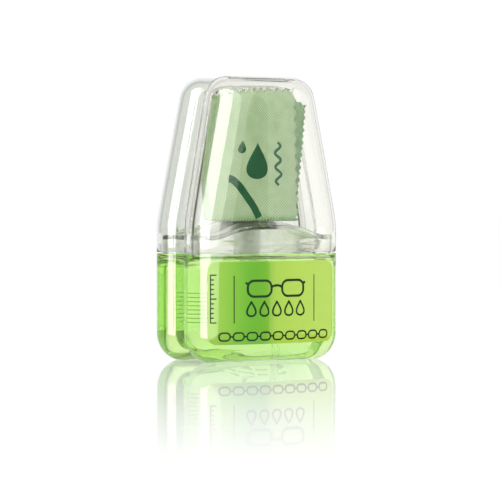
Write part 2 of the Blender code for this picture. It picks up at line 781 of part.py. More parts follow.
def make_stem_plug(mat):
    head_top = STEM_BOTTOM_Z - GAP
    profile = [
        (0.0, head_top - PLUG_LENGTH), (PLUG_RADIUS - 0.25, head_top - PLUG_LENGTH),
        (PLUG_RADIUS, head_top - PLUG_LENGTH + 0.3), (PLUG_RADIUS, head_top - PLUG_FLANGE),
        (PLUG_FLANGE_RADIUS, head_top - PLUG_FLANGE), (PLUG_FLANGE_RADIUS, head_top - 0.2),
        (PLUG_FLANGE_RADIUS - 0.2, head_top), (STEM_BORE - GAP, head_top),
        (STEM_BORE - GAP, head_top + 2.2),
        (0.3, head_top + 2.5), (0.0, head_top + 2.5),
    ]
    return turned("stem_plug", profile, mat, segments=24)


def make_ball(mat):
    bm = bmesh.new()
    bmesh.ops.create_icosphere(bm, subdivisions=2, radius=BALL_RADIUS)
    centre_z = SEAT_Z + 0.7 + BALL_RADIUS * 0.55
    bmesh.ops.translate(bm, verts=bm.verts, vec=(0.0, 0.0, centre_z))
    return finish_mesh("check_ball", bm, mat, origin=(0.0, 0.0, centre_z), smooth_angle=60.0)


def make_spring(name, spring, low, high, mat):
    """A round-wire coil spring with closed end turns, as a bevelled curve."""
    radius = spring["radius"]
    wire = spring["wire"]
    turns = spring["turns"]
    curve = bpy.data.curves.new(name, "CURVE")
    curve.dimensions = "3D"
    curve.bevel_depth = wire / 2.0 * MM
    curve.bevel_resolution = 1
    curve.use_fill_caps = True
    steps = 9 * turns
    spline = curve.splines.new("POLY")
    spline.points.add(steps)
    rise = high - low - wire
    end = 1.0 / turns
    closed = 1.15 * wire
    for step in range(steps + 1):
        part = step / steps
        angle = 2.0 * math.pi * turns * part
        at_ends = min(part, end) + min(max(0.0, part - (1.0 - end)), end)
        free = min(max(0.0, (part - end) / (1.0 - 2.0 * end)), 1.0)
        height = low + wire / 2.0 + closed * at_ends / end + free * (rise - 2.0 * closed)
        point = (radius * math.cos(angle) * MM, radius * math.sin(angle) * MM, height * MM, 1.0)
        spline.points[step].co = point
    curve.materials.append(mat)
    obj = bpy.data.objects.new(name, curve)
    bpy.context.collection.objects.link(obj)
    return obj


def make_tube(mat):
    """Dip tube: a bored tube that bows into the front lobe on its way to the floor."""
    bm = bmesh.new()
    count = 12
    heights = [SEAT_Z - 0.6 - GAP, TAIL_END_Z]
    steps = 9
    heights += [TAIL_END_Z + (TUBE_FOOT_Z - TAIL_END_Z) * k / steps for k in range(1, steps + 1)]
    reach = math.hypot(*TUBE_FOOT)
    lean = Vector((TUBE_FOOT[0] / reach, TUBE_FOOT[1] / reach, 0.0))
    across = Vector((-lean.y, lean.x, 0.0))

    def ring(radius, z):
        centre = lean * reach * tube_shift(z) + Vector((0.0, 0.0, z))
        slope = (tube_shift(z - 0.25) - tube_shift(z + 0.25)) * 2.0 * reach
        tangent = (lean * slope - Vector((0.0, 0.0, 1.0))).normalized()
        upright = tangent.cross(across)
        loop = []
        for k in range(count):
            a = 2.0 * math.pi * k / count
            loop.append(centre + radius * (math.cos(a) * across + math.sin(a) * upright))
        return loop

    outside = [ring(TUBE_RADIUS, z) for z in heights]
    inside = [ring(TUBE_BORE, z) for z in heights[::-1]]
    made = bridge_all(bm, outside + inside)
    bridge(bm, made[-1], made[0])
    return finish_mesh("dip_tube", bm, mat)


# ---- Button ------------------------------------------------------------------------------

def horizontal_cutter(name, radius, from_y, to_y, z, segments=24):
    bm = bmesh.new()
    bmesh.ops.create_cone(
        bm, cap_ends=True, segments=segments, radius1=radius, radius2=radius,
        depth=abs(to_y - from_y),
    )
    rotation = Vector((0, 0, 1)).rotation_difference(Vector((0, 1, 0))).to_matrix()
    bmesh.ops.rotate(bm, verts=bm.verts, cent=(0, 0, 0), matrix=rotation)
    bmesh.ops.translate(bm, verts=bm.verts, vec=(0.0, (from_y + to_y) / 2.0, z))
    cutter = finish_mesh(name, bm, material(name, (0.8, 0.8, 0.8), 0.5))
    cutter.hide_render = True
    cutter.display_type = "WIRE"
    return cutter


def cut(obj, cutter):
    modifier = obj.modifiers.new(cutter.name, "BOOLEAN")
    modifier.operation = "DIFFERENCE"
    modifier.solver = "EXACT"
    modifier.object = cutter


def make_button(mat):
    """Finger button: telescoping skirt, stem socket, dished top and nozzle pocket."""
    skirt_inner = TURRET_RADIUS + GAP
    ceiling = BUTTON_BOTTOM_Z + STROKE + SKIRT_SPARE
    socket = STEM_RADIUS + GAP
    boss = socket + SOCKET_WALL
    profile = [
        (skirt_inner, BUTTON_BOTTOM_Z),
        (BUTTON_RADIUS, BUTTON_BOTTOM_Z),
        (BUTTON_RADIUS, BUTTON_TOP_Z - 1.6),
        (BUTTON_RADIUS - 0.25, BUTTON_TOP_Z - 0.7),
        (BUTTON_RADIUS - 0.8, BUTTON_TOP_Z - 0.15),
        (BUTTON_RADIUS - 1.4, BUTTON_TOP_Z),
        (BUTTON_RADIUS - 2.2, BUTTON_TOP_Z - 0.25),
        (BUTTON_RADIUS - 3.8, BUTTON_TOP_Z - 0.7),
        (0.0, BUTTON_TOP_Z - 0.85),
        (0.0, STEM_TOP_Z + 1.1),
        (socket - 0.6, STEM_TOP_Z + 1.1),
        (socket - 0.6, STEM_TOP_Z + GAP),
        (socket, STEM_TOP_Z + GAP),
        (socket, ceiling - SOCKET_DEPTH),
        (boss, ceiling - SOCKET_DEPTH),
        (boss, ceiling),
        (skirt_inner, ceiling),
    ]
    button = turned("actuator_button", profile, mat, origin=(0.0, 0.0, BUTTON_BOTTOM_Z))
    pocket = horizontal_cutter(
        "nozzle_pocket", NOZZLE_RADIUS + GAP, -BUTTON_RADIUS - 2.0, GAP - NOZZLE_BACK, NOZZLE_Z)
    channel = horizontal_cutter("spray_channel", 0.6, -4.0, 0.0, NOZZLE_Z + 0.35, segments=12)
    cut(button, pocket)
    cut(button, channel)
    return button


def make_insert(mat):
    """Nozzle cup with a fine orifice, its axis along -Y."""
    front = BUTTON_RADIUS + 0.1
    bore = NOZZLE_RADIUS - NOZZLE_WALL
    profile = [
        (ORIFICE_RADIUS, front), (NOZZLE_RADIUS - 0.3, front), (NOZZLE_RADIUS, front - 0.3),
        (NOZZLE_RADIUS, NOZZLE_BACK), (bore, NOZZLE_BACK), (bore, front - 0.6),
        (ORIFICE_RADIUS, front - 0.6),
    ]
    bm = turned_mesh(profile, 24)
    rotation = Vector((0, 0, 1)).rotation_difference(Vector((0, -1, 0))).to_matrix()
    bmesh.ops.rotate(bm, verts=bm.verts, cent=(0, 0, 0), matrix=rotation)
    bmesh.ops.translate(bm, verts=bm.verts, vec=(0.0, 0.0, NOZZLE_Z))
    return finish_mesh("orifice_insert", bm, mat, origin=(0.0, 0.0, NOZZLE_Z))


# ---- Assembly ----------------------------------------------------------------------------

def main():
    clear_objects()
    clear_plastic = material("clear_plastic", (0.93, 0.96, 0.95), 0.05, alpha=0.35)
    fluid = material("green_fluid", (0.30, 0.75, 0.12), 0.05, alpha=0.7)
    film = material("lime_film", (0.55, 0.83, 0.16), 0.35, alpha=0.8)
    microfibre = material("green_microfibre", (0.52, 0.70, 0.50), 0.9)
    white = material("white_plastic", (0.88, 0.89, 0.88), 0.35)
    natural = material("natural_plastic", (0.86, 0.87, 0.84), 0.4)
    rubber = material("grey_rubber", (0.30, 0.31, 0.32), 0.7)
    steel = material("spring_steel", (0.62, 0.63, 0.64), 0.3, metallic=1.0)
    make_bottle(clear_plastic)
    make_fluid(fluid)
    make_label("front_label", FRONT_LABEL, -1.0, film)
    make_label("rear_label", REAR_LABEL, 1.0, film)
    make_cap(clear_plastic)
    make_cloth(microfibre)
    make_collar(white)
    make_housing(natural)
    make_retainer(natural)
    make_gasket(rubber)
    make_stem(natural)
    make_piston(natural)
    make_stem_plug(natural)
    spring_top = STEM_BOTTOM_Z - PLUG_FLANGE - 2.0 * GAP
    make_spring("return_spring", RETURN_SPRING, CHAMBER_FLOOR_Z + GAP, spring_top, steel)
    make_spring("precompression_spring", PRECOMPRESSION_SPRING, PISTON_TOP_Z + GAP,
                RETAINER_BOTTOM_Z - GAP, steel)
    make_ball(steel)
    make_tube(natural)
    make_button(white)
    make_insert(white)


main()
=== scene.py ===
"""Looks of the pocket lens cleaning spray: clear two-lobed bottle and cap, green fluid,
printed film labels, a folded microfibre cloth and a finger pump.

Lengths of the shapes are in millimetres and are turned into metres when a mesh is made. Those of
the camera, of the lights and of a material's grain are in metres.
"""

import math

import bmesh
import bpy
import numpy as np
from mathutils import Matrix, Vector


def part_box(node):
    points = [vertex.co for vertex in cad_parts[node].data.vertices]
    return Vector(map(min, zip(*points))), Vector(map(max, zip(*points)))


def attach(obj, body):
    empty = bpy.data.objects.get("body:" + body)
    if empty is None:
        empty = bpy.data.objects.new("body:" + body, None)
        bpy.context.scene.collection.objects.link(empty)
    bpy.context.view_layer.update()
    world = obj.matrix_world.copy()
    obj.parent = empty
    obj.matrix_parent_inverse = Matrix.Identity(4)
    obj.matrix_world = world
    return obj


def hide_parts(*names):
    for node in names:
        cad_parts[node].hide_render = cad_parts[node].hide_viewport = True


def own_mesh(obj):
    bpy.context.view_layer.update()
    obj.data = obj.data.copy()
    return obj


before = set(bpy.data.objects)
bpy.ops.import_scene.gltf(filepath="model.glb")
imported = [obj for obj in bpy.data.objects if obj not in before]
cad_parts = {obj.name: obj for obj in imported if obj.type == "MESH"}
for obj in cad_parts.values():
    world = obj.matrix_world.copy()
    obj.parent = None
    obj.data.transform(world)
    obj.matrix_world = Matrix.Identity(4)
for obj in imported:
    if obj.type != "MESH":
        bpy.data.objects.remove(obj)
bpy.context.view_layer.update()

MM = 0.001


def node_box(name):
    """A CAD node's lowest and highest corners in millimetres."""
    low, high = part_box(name)
    return np.array(low) / MM, np.array(high) / MM


# ---- Sizes, from the frame where it has them --------------------------------------------
BOTTLE_HIGH = node_box("bottle")[1]
CAP_LOW, CAP_HIGH = node_box("over_cap")
GAP = 0.3
HALF_WIDTH = 22.5
HEIGHT = round(CAP_HIGH[2], 1)
PART_LINE_Z = round(CAP_LOW[2] - GAP, 1)
SIDE_RADIUS = 3.6
LOBE_OFFSET = 7.2
CROWN = 4.2
GROOVE_DEPTH = 3.2
GROOVE_FILLET = 0.6
BASE_CORNER = 7.8
TOP_CORNER = 6.4
TAPER_Z = 34.5
TAPER_BLEND = 2.5
SIDE_TAPER = 0.2
OFFSET_TAPER = 0.025
CROWN_TAPER = 0.015
CROWN_RISE = 7.5
FOOT_CUT = 0.35
WALL = 1.2               # of the cap, and of the bottle's shoulder and neck
BODY_WALL = 0.8          # of the bottle below the ledge
BASE_LIFT = 0.2
SPIGOT_INSET = 1.7
SPIGOT_WALL = 1.1
SPIGOT_EDGE_Z = 32.8
SPIGOT_ARCH = 2.7
ARCH_HALF_WIDTH = 16.5
SPIGOT_FILLET = 0.6
NECK_BASE_Z = 36.4
NECK_TOP_Z = round(BOTTLE_HIGH[2], 1)
NECK_ROOT = 6.1
NECK_BORE = 4.9
PITCH = 2.5
THREAD_HEIGHT = 0.7
THREAD_TURNS = 1.5
THREAD_START_Z = 38.2
THREAD_HALF = 0.78       # half the thread's width at its foot
THREAD_FLANK = 0.5
THREAD_RUN_IN = 0.06     # of a turn
THREAD_MARGIN = 0.9
PAD = {"inner": 8.9, "outer": 15.2, "bottom": 28.9, "top": 31.75, "height": 0.32, "edge": 0.35}
RIM_ROUND = 0.25         # rounding of the bottle's and the cap's edges at the part line
RIM_MIDDLE = 0.07
LEDGE = 1.7              # the bottle's wall grows thicker from this far below the part line
FLUID_LEVEL_Z = 27.5
FLUID_SKIN = 0.65        # clear skin left between the fluid and the outer surface

# ---- Folded cloth, labels and print -------------------------------------------------------
CLOTH_HIGH = node_box("cleaning_cloth")[1]
CLOTH_RIGHT_X = round(CLOTH_HIGH[0], 1) - 2.8   # of the front ply; those behind lean further right
CLOTH_WIDTH = 25.2
CLOTH_EDGE_DEPTH = 3.0
CLOTH_GAP = 0.45                      # between the cap's wall and the front ply
CLOTH_UV = "flat"
GATHER_FROM = 7.0                     # the bundle is gathered from this far in from its right edge
PLY = 0.18                            # from one ply to the next
CLOTH_PLY_THICKNESS = 0.12
FOLDS_ACROSS = 5
FRONT_BORDER = 2.2                     # the front ply stands out this far beyond the rest
PANEL_COLUMNS = 18
PINK_PITCH = 3.2
PINK_DEPTH = 1.3
TOP_SKEW = 1.3                         # the plies behind the front one end lower at the top
FOLD_HEIGHTS = [70.8, 37.3, 66.6, 37.5, 69.2]   # top edge, then each fold in turn
FOLD_LEANS = [0.0, 0.0, 4.8, 0.0, -0.6]         # sideways slip of each of them
THREAD_PITCH = 0.8
BEHIND_PLIES_PAINTED_SHADE = (0.50, 0.70, 0.50)          # painted shade on the plies behind, as a multiplier on the front one's colour
FRONT_LABEL = {"half_width": 19.0, "bottom": 4.9, "top": 26.2, "corner": 2.6}
REAR_LABEL = {"half_width": 17.5, "bottom": 7.7, "top": 23.4, "corner": 2.6}
LABEL_COLUMNS = 28
LABEL_CORNER_COLUMNS = 10
LABEL_ROWS = 24
FILM_BED = 0.04
FILM_PROUD = 0.06
INK = 0.03
CLOTH_INK = 0.05
INK_BED = 0.01                        # a print starts this far inside its surface

# ---- Pump ------------------------------------------------------------------------------------
STEM_RADIUS = 1.45
STEM_TOP_Z = 60.8
SEAT_Z = 23.2
TAIL_END_Z = 19.8
COLLAR_RADIUS = 8.2
COLLAR_BOTTOM_Z = 37.2
COLLAR_PLATE_Z = 47.9
COLLAR_TOP_Z = 49.0
COLLAR_RIBS = 48
TURRET_RADIUS = 4.6
TURRET_TOP_Z = 54.0
BUTTON_RADIUS = 5.6
BUTTON_BOTTOM_Z = 53.4
BUTTON_TOP_Z = 64.6
NOZZLE_Z = 61.0
NOZZLE_RADIUS = 2.0
POCKET_DEPTHS = (3.4, 8.0)            # from the pump's axis, for the nozzle insert
INSERT_REAR = 3.7
BUTTON_ROUND = 1.4
SKIRT_DEPTH = 5.3
DISH_DEPTH = 0.85
GRIP_PITCH = 0.8
GRIP_HEIGHT = 0.06
RIB_DEPTH = 0.28
TUBE_RADIUS = 1.05
TUBE_BORE = 0.65
TUBE_FOOT = (3.2, -7.9)
TUBE_FOOT_Z = 2.4
TUBE_END_LEAN = 0.25
RETURN_SPRING = {"radius": 1.95, "wire": 0.4, "turns": 7}
RETURN_SPRING_Z = (27.3, 35.0)
PRECOMPRESSION_SPRING = {"radius": 2.02, "wire": 0.3, "turns": 5}
PRECOMPRESSION_SPRING_Z = (40.1, 43.4)

# ---- Colours and optics ---------------------------------------------------------------------
CLEAR_IOR = 1.49                      # of moulded plastic and of film
REAR_PAINTED_SHADE_SPAN = (-2.0, 5.0)          # depth over which painted shade darkens the clear plastic towards the rear lobe
HAZE_SPAN = (0.3, 1.5)                # height above the part line over which its haze sets in
FLUID_TINT = (0.78, 0.975, 0.44, 1.0)
FLUID_DYE = (0.58, 0.94, 0.36, 1.0)
FLUID_DENSITY = 20.0
FLUID_IOR = 1.34
FILM_TINT_AND_PAINTED_LIGHT = [(0.0, (0.36, 0.56, 0.035)), (0.24, (0.145, 0.50, 0.008)),      # left to right: the film's lime-green tint, with a painted highlight at the far left and a painted reflection of the side light on the right
              (0.41, (0.13, 0.46, 0.006)), (0.50, (0.44, 0.66, 0.020)), (1.0, (0.50, 0.74, 0.012))]

# ---- Camera and light, in metres and degrees --------------------------------------------------
CAMERA_AZIMUTH = -31.0
CAMERA_DISTANCE = 0.631
CAMERA_HEIGHT = 0.044
CAMERA_PITCH = 1.385
CAMERA_LENS = 172.8
AIM_ASIDE = 0.00084
LIGHT_DISTANCE = 0.9
SOFT_BOXES = [                        # azimuth, elevation, width, height, radiance, on matt parts
    ("key_box", -29.0, 20.0, 0.78, 1.1, 9.0, False),
    ("key_edge", -27.0, 20.0, 0.98, 1.1, 4.0, False),
    ("side_box", 47.0, 20.0, 0.72, 1.1, 1.3, False),
    ("fill_box", -31.0, 30.0, 1.6, 1.6, 2.4, True),
]
MIRROR_REACH = 0.265
MIRROR_STRENGTH = 0.74
TABLE_GLOW = 0.95
TABLE_BELOW = (-0.15, -0.45)          # the tent turns into the table between these slopes
TENT_STRENGTH = 1.02
TENT_TONES = [(-1.0, 0.08), (-0.5, 0.14), (0.0, 0.55),                       # front to back
              (0.45, 0.6), (0.72, 0.75), (0.92, 1.0)]

# ---- Mesh fineness ------------------------------------------------------------------------
MERGE_DISTANCE = 1e-4
SHARP_ANGLE = 40.0
ROUND_STEPS = 16
FILLET_STEPS = 4
FACE_COLUMNS = 32
CORNER_STEPS = 14
THREAD_STEPS_PER_PITCH = 14
TURN_SEGMENTS = 96
BODY_ROWS = 9
TAPER_ROWS = 22
SPIGOT_ROWS = 20
SPIGOT_ROUND_STEPS = 5
SHOULDER_STEPS = 14


# ---- Helpers ------------------------------------------------------------------------------

def make_object(name, bm, mat, closed=True):
    """Turn a bmesh in millimetres into a smooth-shaded object in metres."""
    if closed:
        bmesh.ops.remove_doubles(bm, verts=bm.verts, dist=MERGE_DISTANCE)
        bmesh.ops.recalc_face_normals(bm, faces=bm.faces)
    bmesh.ops.scale(bm, verts=bm.verts, vec=(MM, MM, MM))
    mesh = bpy.data.meshes.new(name)
    bm.to_mesh(mesh)
    bm.free()
    mesh.shade_smooth()
    if closed:
        mesh.set_sharp_from_angle(angle=math.radians(SHARP_ANGLE))
    if mat is not None:
        mesh.materials.append(mat)
    obj = bpy.data.objects.new(name, mesh)
    bpy.context.collection.objects.link(obj)
    return obj


def add_loop(bm, loop):
    return [bm.verts.new(point) for point in loop]


def bridge(bm, first, second):
    count = len(first)
    for i in range(count):
        j = (i + 1) % count
        bm.faces.new((first[i], first[j], second[j], second[i]))


def bridge_all(bm, loops):
    made = [add_loop(bm, loop) for loop in loops]
    for first, second in zip(made, made[1:]):
        bridge(bm, first, second)
    return made


def fill_rows(bm, rows):
    """Faces between neighbouring rows of vertices."""
    for a, b in zip(rows, rows[1:]):
        for i in range(len(a) - 1):
            bm.faces.new((a[i], a[i + 1], b[i + 1], b[i]))


def spread(start, end, count):
    """Values in even steps, from start to end."""
    return [start + (end - start) * k / count for k in range(count + 1)]


def polar(radius, angle, z):
    return radius * math.cos(angle), radius * math.sin(angle), z


def smooth_step(value):
    value = min(1.0, max(0.0, value))
    return value * value * (3.0 - 2.0 * value)


# ---- The lobed body shape -------------------------------------------------------------------

def taper(z):
    rise = max(0.0, z - TAPER_Z)
    return rise * rise / (rise + TAPER_BLEND)


def side_x(z):
    return HALF_WIDTH - SIDE_TAPER * taper(z)


def lobe_offset(z):
    return LOBE_OFFSET - OFFSET_TAPER * taper(z)


def crown_at(x, z):
    near_end = min(1.0, max(0.0, z) / CROWN_RISE, max(0.0, HEIGHT - z) / CROWN_RISE)
    rise = 1.0 - (1.0 - near_end) ** 2
    across = max(0.0, 1.0 - (x / side_x(z)) ** 2)
    return (CROWN - CROWN_TAPER * taper(z)) * across * rise


def edge_profile(inset):
    """(depth, offset, share of the crown) round a lobe's edge, from face to groove."""
    groove_start = GROOVE_DEPTH - GROOVE_FILLET
    last = -math.acos((SIDE_RADIUS - groove_start) / SIDE_RADIUS)
    wall = SIDE_RADIUS * math.sin(last)
    radius = SIDE_RADIUS - inset
    points = []
    for angle in spread(math.pi / 2.0, last, ROUND_STEPS):
        share = 0.5 + 0.5 * math.sin(angle)
        depth = SIDE_RADIUS - radius * math.cos(angle)
        points.append((depth, radius * math.sin(angle), share))
    fillet = GROOVE_FILLET + inset
    for angle in spread(0.0, math.pi / 2.0, FILLET_STEPS)[1:]:
        depth = groove_start + fillet * math.sin(angle)
        points.append((depth, wall - GROOVE_FILLET + fillet * math.cos(angle), 0.0))
    return points


def side_frame(z):
    step = 0.01
    slope = (side_x(z + step) - side_x(z - step)) / (2.0 * step)
    length = math.hypot(1.0, slope)
    return side_x(z), z, 1.0 / length, -slope / length


def band_points(outline, inset):
    x, z, nx, nz = outline
    offset = lobe_offset(z)
    half = []
    for depth, rise, share in edge_profile(inset):
        px = x - depth * nx
        pz = z - depth * nz
        half.append((px, offset + rise + share * crown_at(px, pz), pz))
    middle = (half[-1][0], 0.0, half[-1][2])
    front = [(px, -py, pz) for px, py, pz in half]
    return front + [middle] + half[::-1]


def face_fractions():
    return [2.0 * k / FACE_COLUMNS - 1.0 for k in range(1, FACE_COLUMNS)]


def body_loop(outline, inset):
    """One closed loop round the body: front face, right edge, rear face, left edge."""
    right = band_points(outline, inset)
    left = [(-x, y, z) for x, y, z in right[::-1]]
    edge_x, _, z = right[0]
    reach = lobe_offset(z) + SIDE_RADIUS - inset
    front = []
    for fraction in face_fractions():
        x = fraction * edge_x
        front.append((x, -(reach + crown_at(x, z)), z))
    rear = [(x, -y, z) for x, y, z in front]
    return front + right + rear[::-1] + left


def corner_frames(centre, radius, start, end):
    frames = []
    for angle in spread(start, end, CORNER_STEPS):
        nx = math.cos(angle)
        nz = math.sin(angle)
        frames.append((centre[0] + radius * nx, centre[1] + radius * nz, nx, nz))
    return frames


def top_corner():
    """The centre of the cap's top corner, and where its side meets the corner's round."""
    lean = math.atan(SIDE_TAPER)
    tangent_z = HEIGHT - TOP_CORNER * (1.0 - math.sin(lean))
    centre = (side_x(tangent_z) - TOP_CORNER * math.cos(lean), HEIGHT - TOP_CORNER)
    return centre, tangent_z


def top_frames(first_z):
    centre, tangent_z = top_corner()
    heights = spread(first_z, TAPER_Z, 3)[:-1]
    heights += [TAPER_Z + (tangent_z - TAPER_Z) * (k / TAPER_ROWS) ** 1.25 for k in range(TAPER_ROWS)]
    sides = [side_frame(z) for z in heights]
    return sides + corner_frames(centre, TOP_CORNER, math.atan(SIDE_TAPER), math.pi / 2.0)


def bottle_frames(first_z, base_z):
    centre = (HALF_WIDTH - BASE_CORNER, base_z + BASE_CORNER)
    sides = [side_frame(z) for z in spread(first_z, centre[1], BODY_ROWS)[:-1]]
    return sides + corner_frames(centre, BASE_CORNER, 0.0, -math.pi / 2.0)


def loop_sides(loop):
    """A body loop's front and rear from left to right, its left and right from front to rear."""
    inner = FACE_COLUMNS - 1
    band = len(loop) // 2 - inner
    return (loop[:inner], loop[inner + band:2 * inner + band][::-1],
            loop[2 * inner + band:][::-1], loop[inner:inner + band])


def bag(bm, frames, inset, floor=None):
    """A lobed surface that is closed at its last outline. Returns its open first loop."""
    def settle(points):
        if floor is None:
            return points
        return [(x, y, max(z, floor)) for x, y, z in points]

    loops = [add_loop(bm, settle(body_loop(outline, inset))) for outline in frames]
    for first, second in zip(loops, loops[1:]):
        bridge(bm, first, second)
    centre_x, z, nx, nz = frames[-1]
    front, rear, left, right = loop_sides(loops[-1])
    rows = [left]
    for column, fraction in enumerate(face_fractions()):
        points = settle(band_points((fraction * centre_x, z, nx, nz), inset))
        rows.append([front[column]] + add_loop(bm, points[1:-1]) + [rear[column]])
    fill_rows(bm, rows + [right])
    return loops[0]


def level_loop(z, inset):
    return body_loop((HALF_WIDTH, z, 1.0, 0.0), inset)


def ring_loop(template, radius, z, mix=1.0):
    """A circle with as many points as the body loop, started at the same place."""
    count = len(template)
    bearings = [math.atan2(y, x) for x, y, _ in template]
    start = bearings[0]
    half_front = (FACE_COLUMNS - 2) // 2
    even_start = -math.pi / 2.0 - 2.0 * math.pi * half_front / count
    shift = (start - even_start + math.pi) % (2.0 * math.pi) - math.pi
    points = []
    for i in range(count):
        own = start + (bearings[i] - start) % (2.0 * math.pi)
        even = start - shift + 2.0 * math.pi * i / count
        angle = (1.0 - mix) * own + mix * even
        points.append(polar(radius, angle, z))
    return points


# ---- Materials ---------------------------------------------------------------------------------
# A node's sockets are given as values, or as the outputs of other nodes that feed them.

def set_sockets(tree, node, sockets):
    for name, value in sockets.items():
        if isinstance(value, bpy.types.NodeSocket):
            tree.links.new(value, node.inputs[name])
        else:
            node.inputs[name].default_value = value


def add_node(tree, kind, sockets=None, **settings):
    """A shader node with its settings and sockets. Returns its outputs."""
    node = tree.nodes.new("ShaderNode" + kind)
    for name, value in settings.items():
        setattr(node, name, value)
    set_sockets(tree, node, sockets or {})
    return node.outputs


def new_material(name):
    mat = bpy.data.materials.new(name)
    mat.use_nodes = True
    return mat, mat.node_tree


def finished(mat, sockets):
    """Give a material's Principled shader its sockets."""
    set_sockets(mat.node_tree, mat.node_tree.nodes["Principled BSDF"], sockets)
    return mat


def map_range(tree, value, span, onto=(0.0, 1.0), **settings):
    return add_node(tree, "MapRange", {"Value": value, "From Min": span[0], "From Max": span[1],
                                       "To Min": onto[0], "To Max": onto[1]}, **settings)["Result"]


def calculate(tree, operation, *values, clamp=False):
    return add_node(tree, "Math", dict(enumerate(values)), operation=operation,
                    use_clamp=clamp)["Value"]


def object_place(tree):
    """The X, Y and Z of a point's place on its object, in metres."""
    return add_node(tree, "SeparateXYZ", {"Vector": add_node(tree, "TexCoord")["Object"]})


def colour_ramp(tree, value, tones, interpolation):
    """The colour at a value from 0 to 1 along (position, colour) tones."""
    colour = add_node(tree, "ValToRGB", {"Fac": value})["Color"]
    ramp = colour.node.color_ramp
    ramp.interpolation = interpolation
    while len(ramp.elements) < len(tones):
        ramp.elements.new(0.5)
    for element, (position, tone) in zip(ramp.elements, tones):
        element.position = position
        element.color = (*tone, 1.0)
    return colour


def mixed_colour(tree, factor, low, high):
    return add_node(tree, "Mix", {"A": (*low, 1.0), "B": (*high, 1.0), "Factor": factor},
                    data_type="RGBA")["Result"]


def bump(tree, height, distance):
    return add_node(tree, "Bump", {"Height": height, "Distance": distance})["Normal"]


def grain(tree, scale, depth, detail=2.0):
    """A fine uneven surface: its noise, which a colour can follow, and its normal."""
    noise = add_node(tree, "TexNoise", {"Vector": add_node(tree, "TexCoord")["Object"],
                                        "Scale": scale, "Detail": detail})["Fac"]
    return noise, bump(tree, noise, depth)


def grained(name, low, high, sockets, **fineness):
    """A surface with a fine grain, whose colour drifts from low to high with it."""
    mat, tree = new_material(name)
    noise, normal = grain(tree, **fineness)
    colour = mixed_colour(tree, noise, low, high)
    return finished(mat, {"Base Color": colour, "Normal": normal, **sockets})


def clear_plastic(name, tint, rear_painted_shade, roughness, flow, haze=None):
    """Clear moulded plastic with slight flow waviness, and painted shade: its tint darkens towards the
    rear lobe.

    The moulding is hazy above the part line when a haze is given.
    """
    mat, tree = new_material(name)
    _, normal = grain(tree, scale=140.0, depth=flow, detail=1.0)
    place = object_place(tree)
    # Painted shade: the tint darkens towards the rear lobe.
    rear_shade_share = map_range(tree, place["Y"], [depth * MM for depth in REAR_PAINTED_SHADE_SPAN],
                         interpolation_type="SMOOTHSTEP")
    if haze:
        span = [(PART_LINE_Z + rise) * MM for rise in HAZE_SPAN]
        roughness = map_range(tree, place["Z"], span, (roughness, haze))
    return finished(mat, {
        "Base Color": mixed_colour(tree, rear_shade_share, tint, rear_painted_shade), "Normal": normal,
        "Roughness": roughness, "IOR": CLEAR_IOR, "Transmission Weight": 1.0})


def fluid_material():
    """Dyed fluid: a clear green even where it is thin, deeper where it is thick."""
    mat, tree = new_material("cleaning_fluid")
    dye = add_node(tree, "VolumeAbsorption", {"Color": FLUID_DYE, "Density": FLUID_DENSITY})
    set_sockets(tree, tree.nodes["Material Output"], {"Volume": dye["Volume"]})
    return finished(mat, {"Base Color": FLUID_TINT, "Roughness": 0.0, "IOR": FLUID_IOR,
                          "Transmission Weight": 1.0})


def film_material(name, half_width):
    """Tinted translucent film under clear varnish. Its colour carries painted light: lighter at the far
    left as a painted highlight, deeper green in the middle, and lighter and more yellow to the right as
    a painted reflection of the side light.
    """
    mat, tree = new_material(name)
    across = map_range(tree, object_place(tree)["X"], (-half_width * MM, half_width * MM))
    return finished(mat, {
        # The ramp's colours are the film's tint plus painted light: a painted highlight at the left
        # edge and a painted reflection of the side light on the right.
        "Base Color": colour_ramp(tree, across, FILM_TINT_AND_PAINTED_LIGHT, "B_SPLINE"),
        "Normal": grain(tree, scale=900.0, depth=0.000006)[1], "Roughness": 0.42, "IOR": CLEAR_IOR,
        "Transmission Weight": 0.4, "Specular IOR Level": 0.1,
        "Coat Weight": 1.0, "Coat Roughness": 0.03})


def moulded(name, colour, roughness=0.35, depth=0.000015, translucent=0.0):
    """Opaque or milky moulded plastic with a fine satin grain."""
    return grained(name, [0.95 * c for c in colour], colour, {
        "Roughness": roughness, "IOR": 1.5, "Subsurface Weight": translucent,
        "Subsurface Radius": (0.001, 0.001, 0.001)}, scale=2600.0, depth=depth, detail=3.0)


def clear_film(name):
    """Nearly clear film, so that the fluid shows its own colour behind the print."""
    return grained(name, (0.93, 0.98, 0.86), (0.96, 1.0, 0.90), {
        "Roughness": 0.08, "IOR": CLEAR_IOR, "Transmission Weight": 1.0}, scale=900.0, depth=0.000004)


def milky_plastic(name, tint):
    """Natural polypropylene: lets a blurred light through."""
    return grained(name, [0.96 * c for c in tint], tint, {
        "Roughness": 0.45, "IOR": 1.14, "Transmission Weight": 0.97}, scale=1800.0, depth=0.00001)


def tube_plastic(name):
    """Clear drawn tube, seen in the fluid by its two bright walls."""
    return grained(name, (0.96, 0.98, 0.95), (1.0, 1.0, 1.0), {
        "Roughness": 0.05, "IOR": 1.15, "Transmission Weight": 1.0}, scale=900.0, depth=0.000003)


def drawn_steel(name):
    return grained(name, (0.50, 0.51, 0.52), (0.66, 0.67, 0.68), {
        "Metallic": 1.0, "Roughness": 0.25}, scale=4000.0, depth=0.000004)


def ink_material(name, colour, roughness, see_through=0.0):
    high = [min(1.0, 1.5 * c) for c in colour]
    return grained(name, colour, high, {
        "Roughness": roughness, "Transmission Weight": see_through, "Specular IOR Level": 0.08},
        scale=5000.0, depth=0.000003)


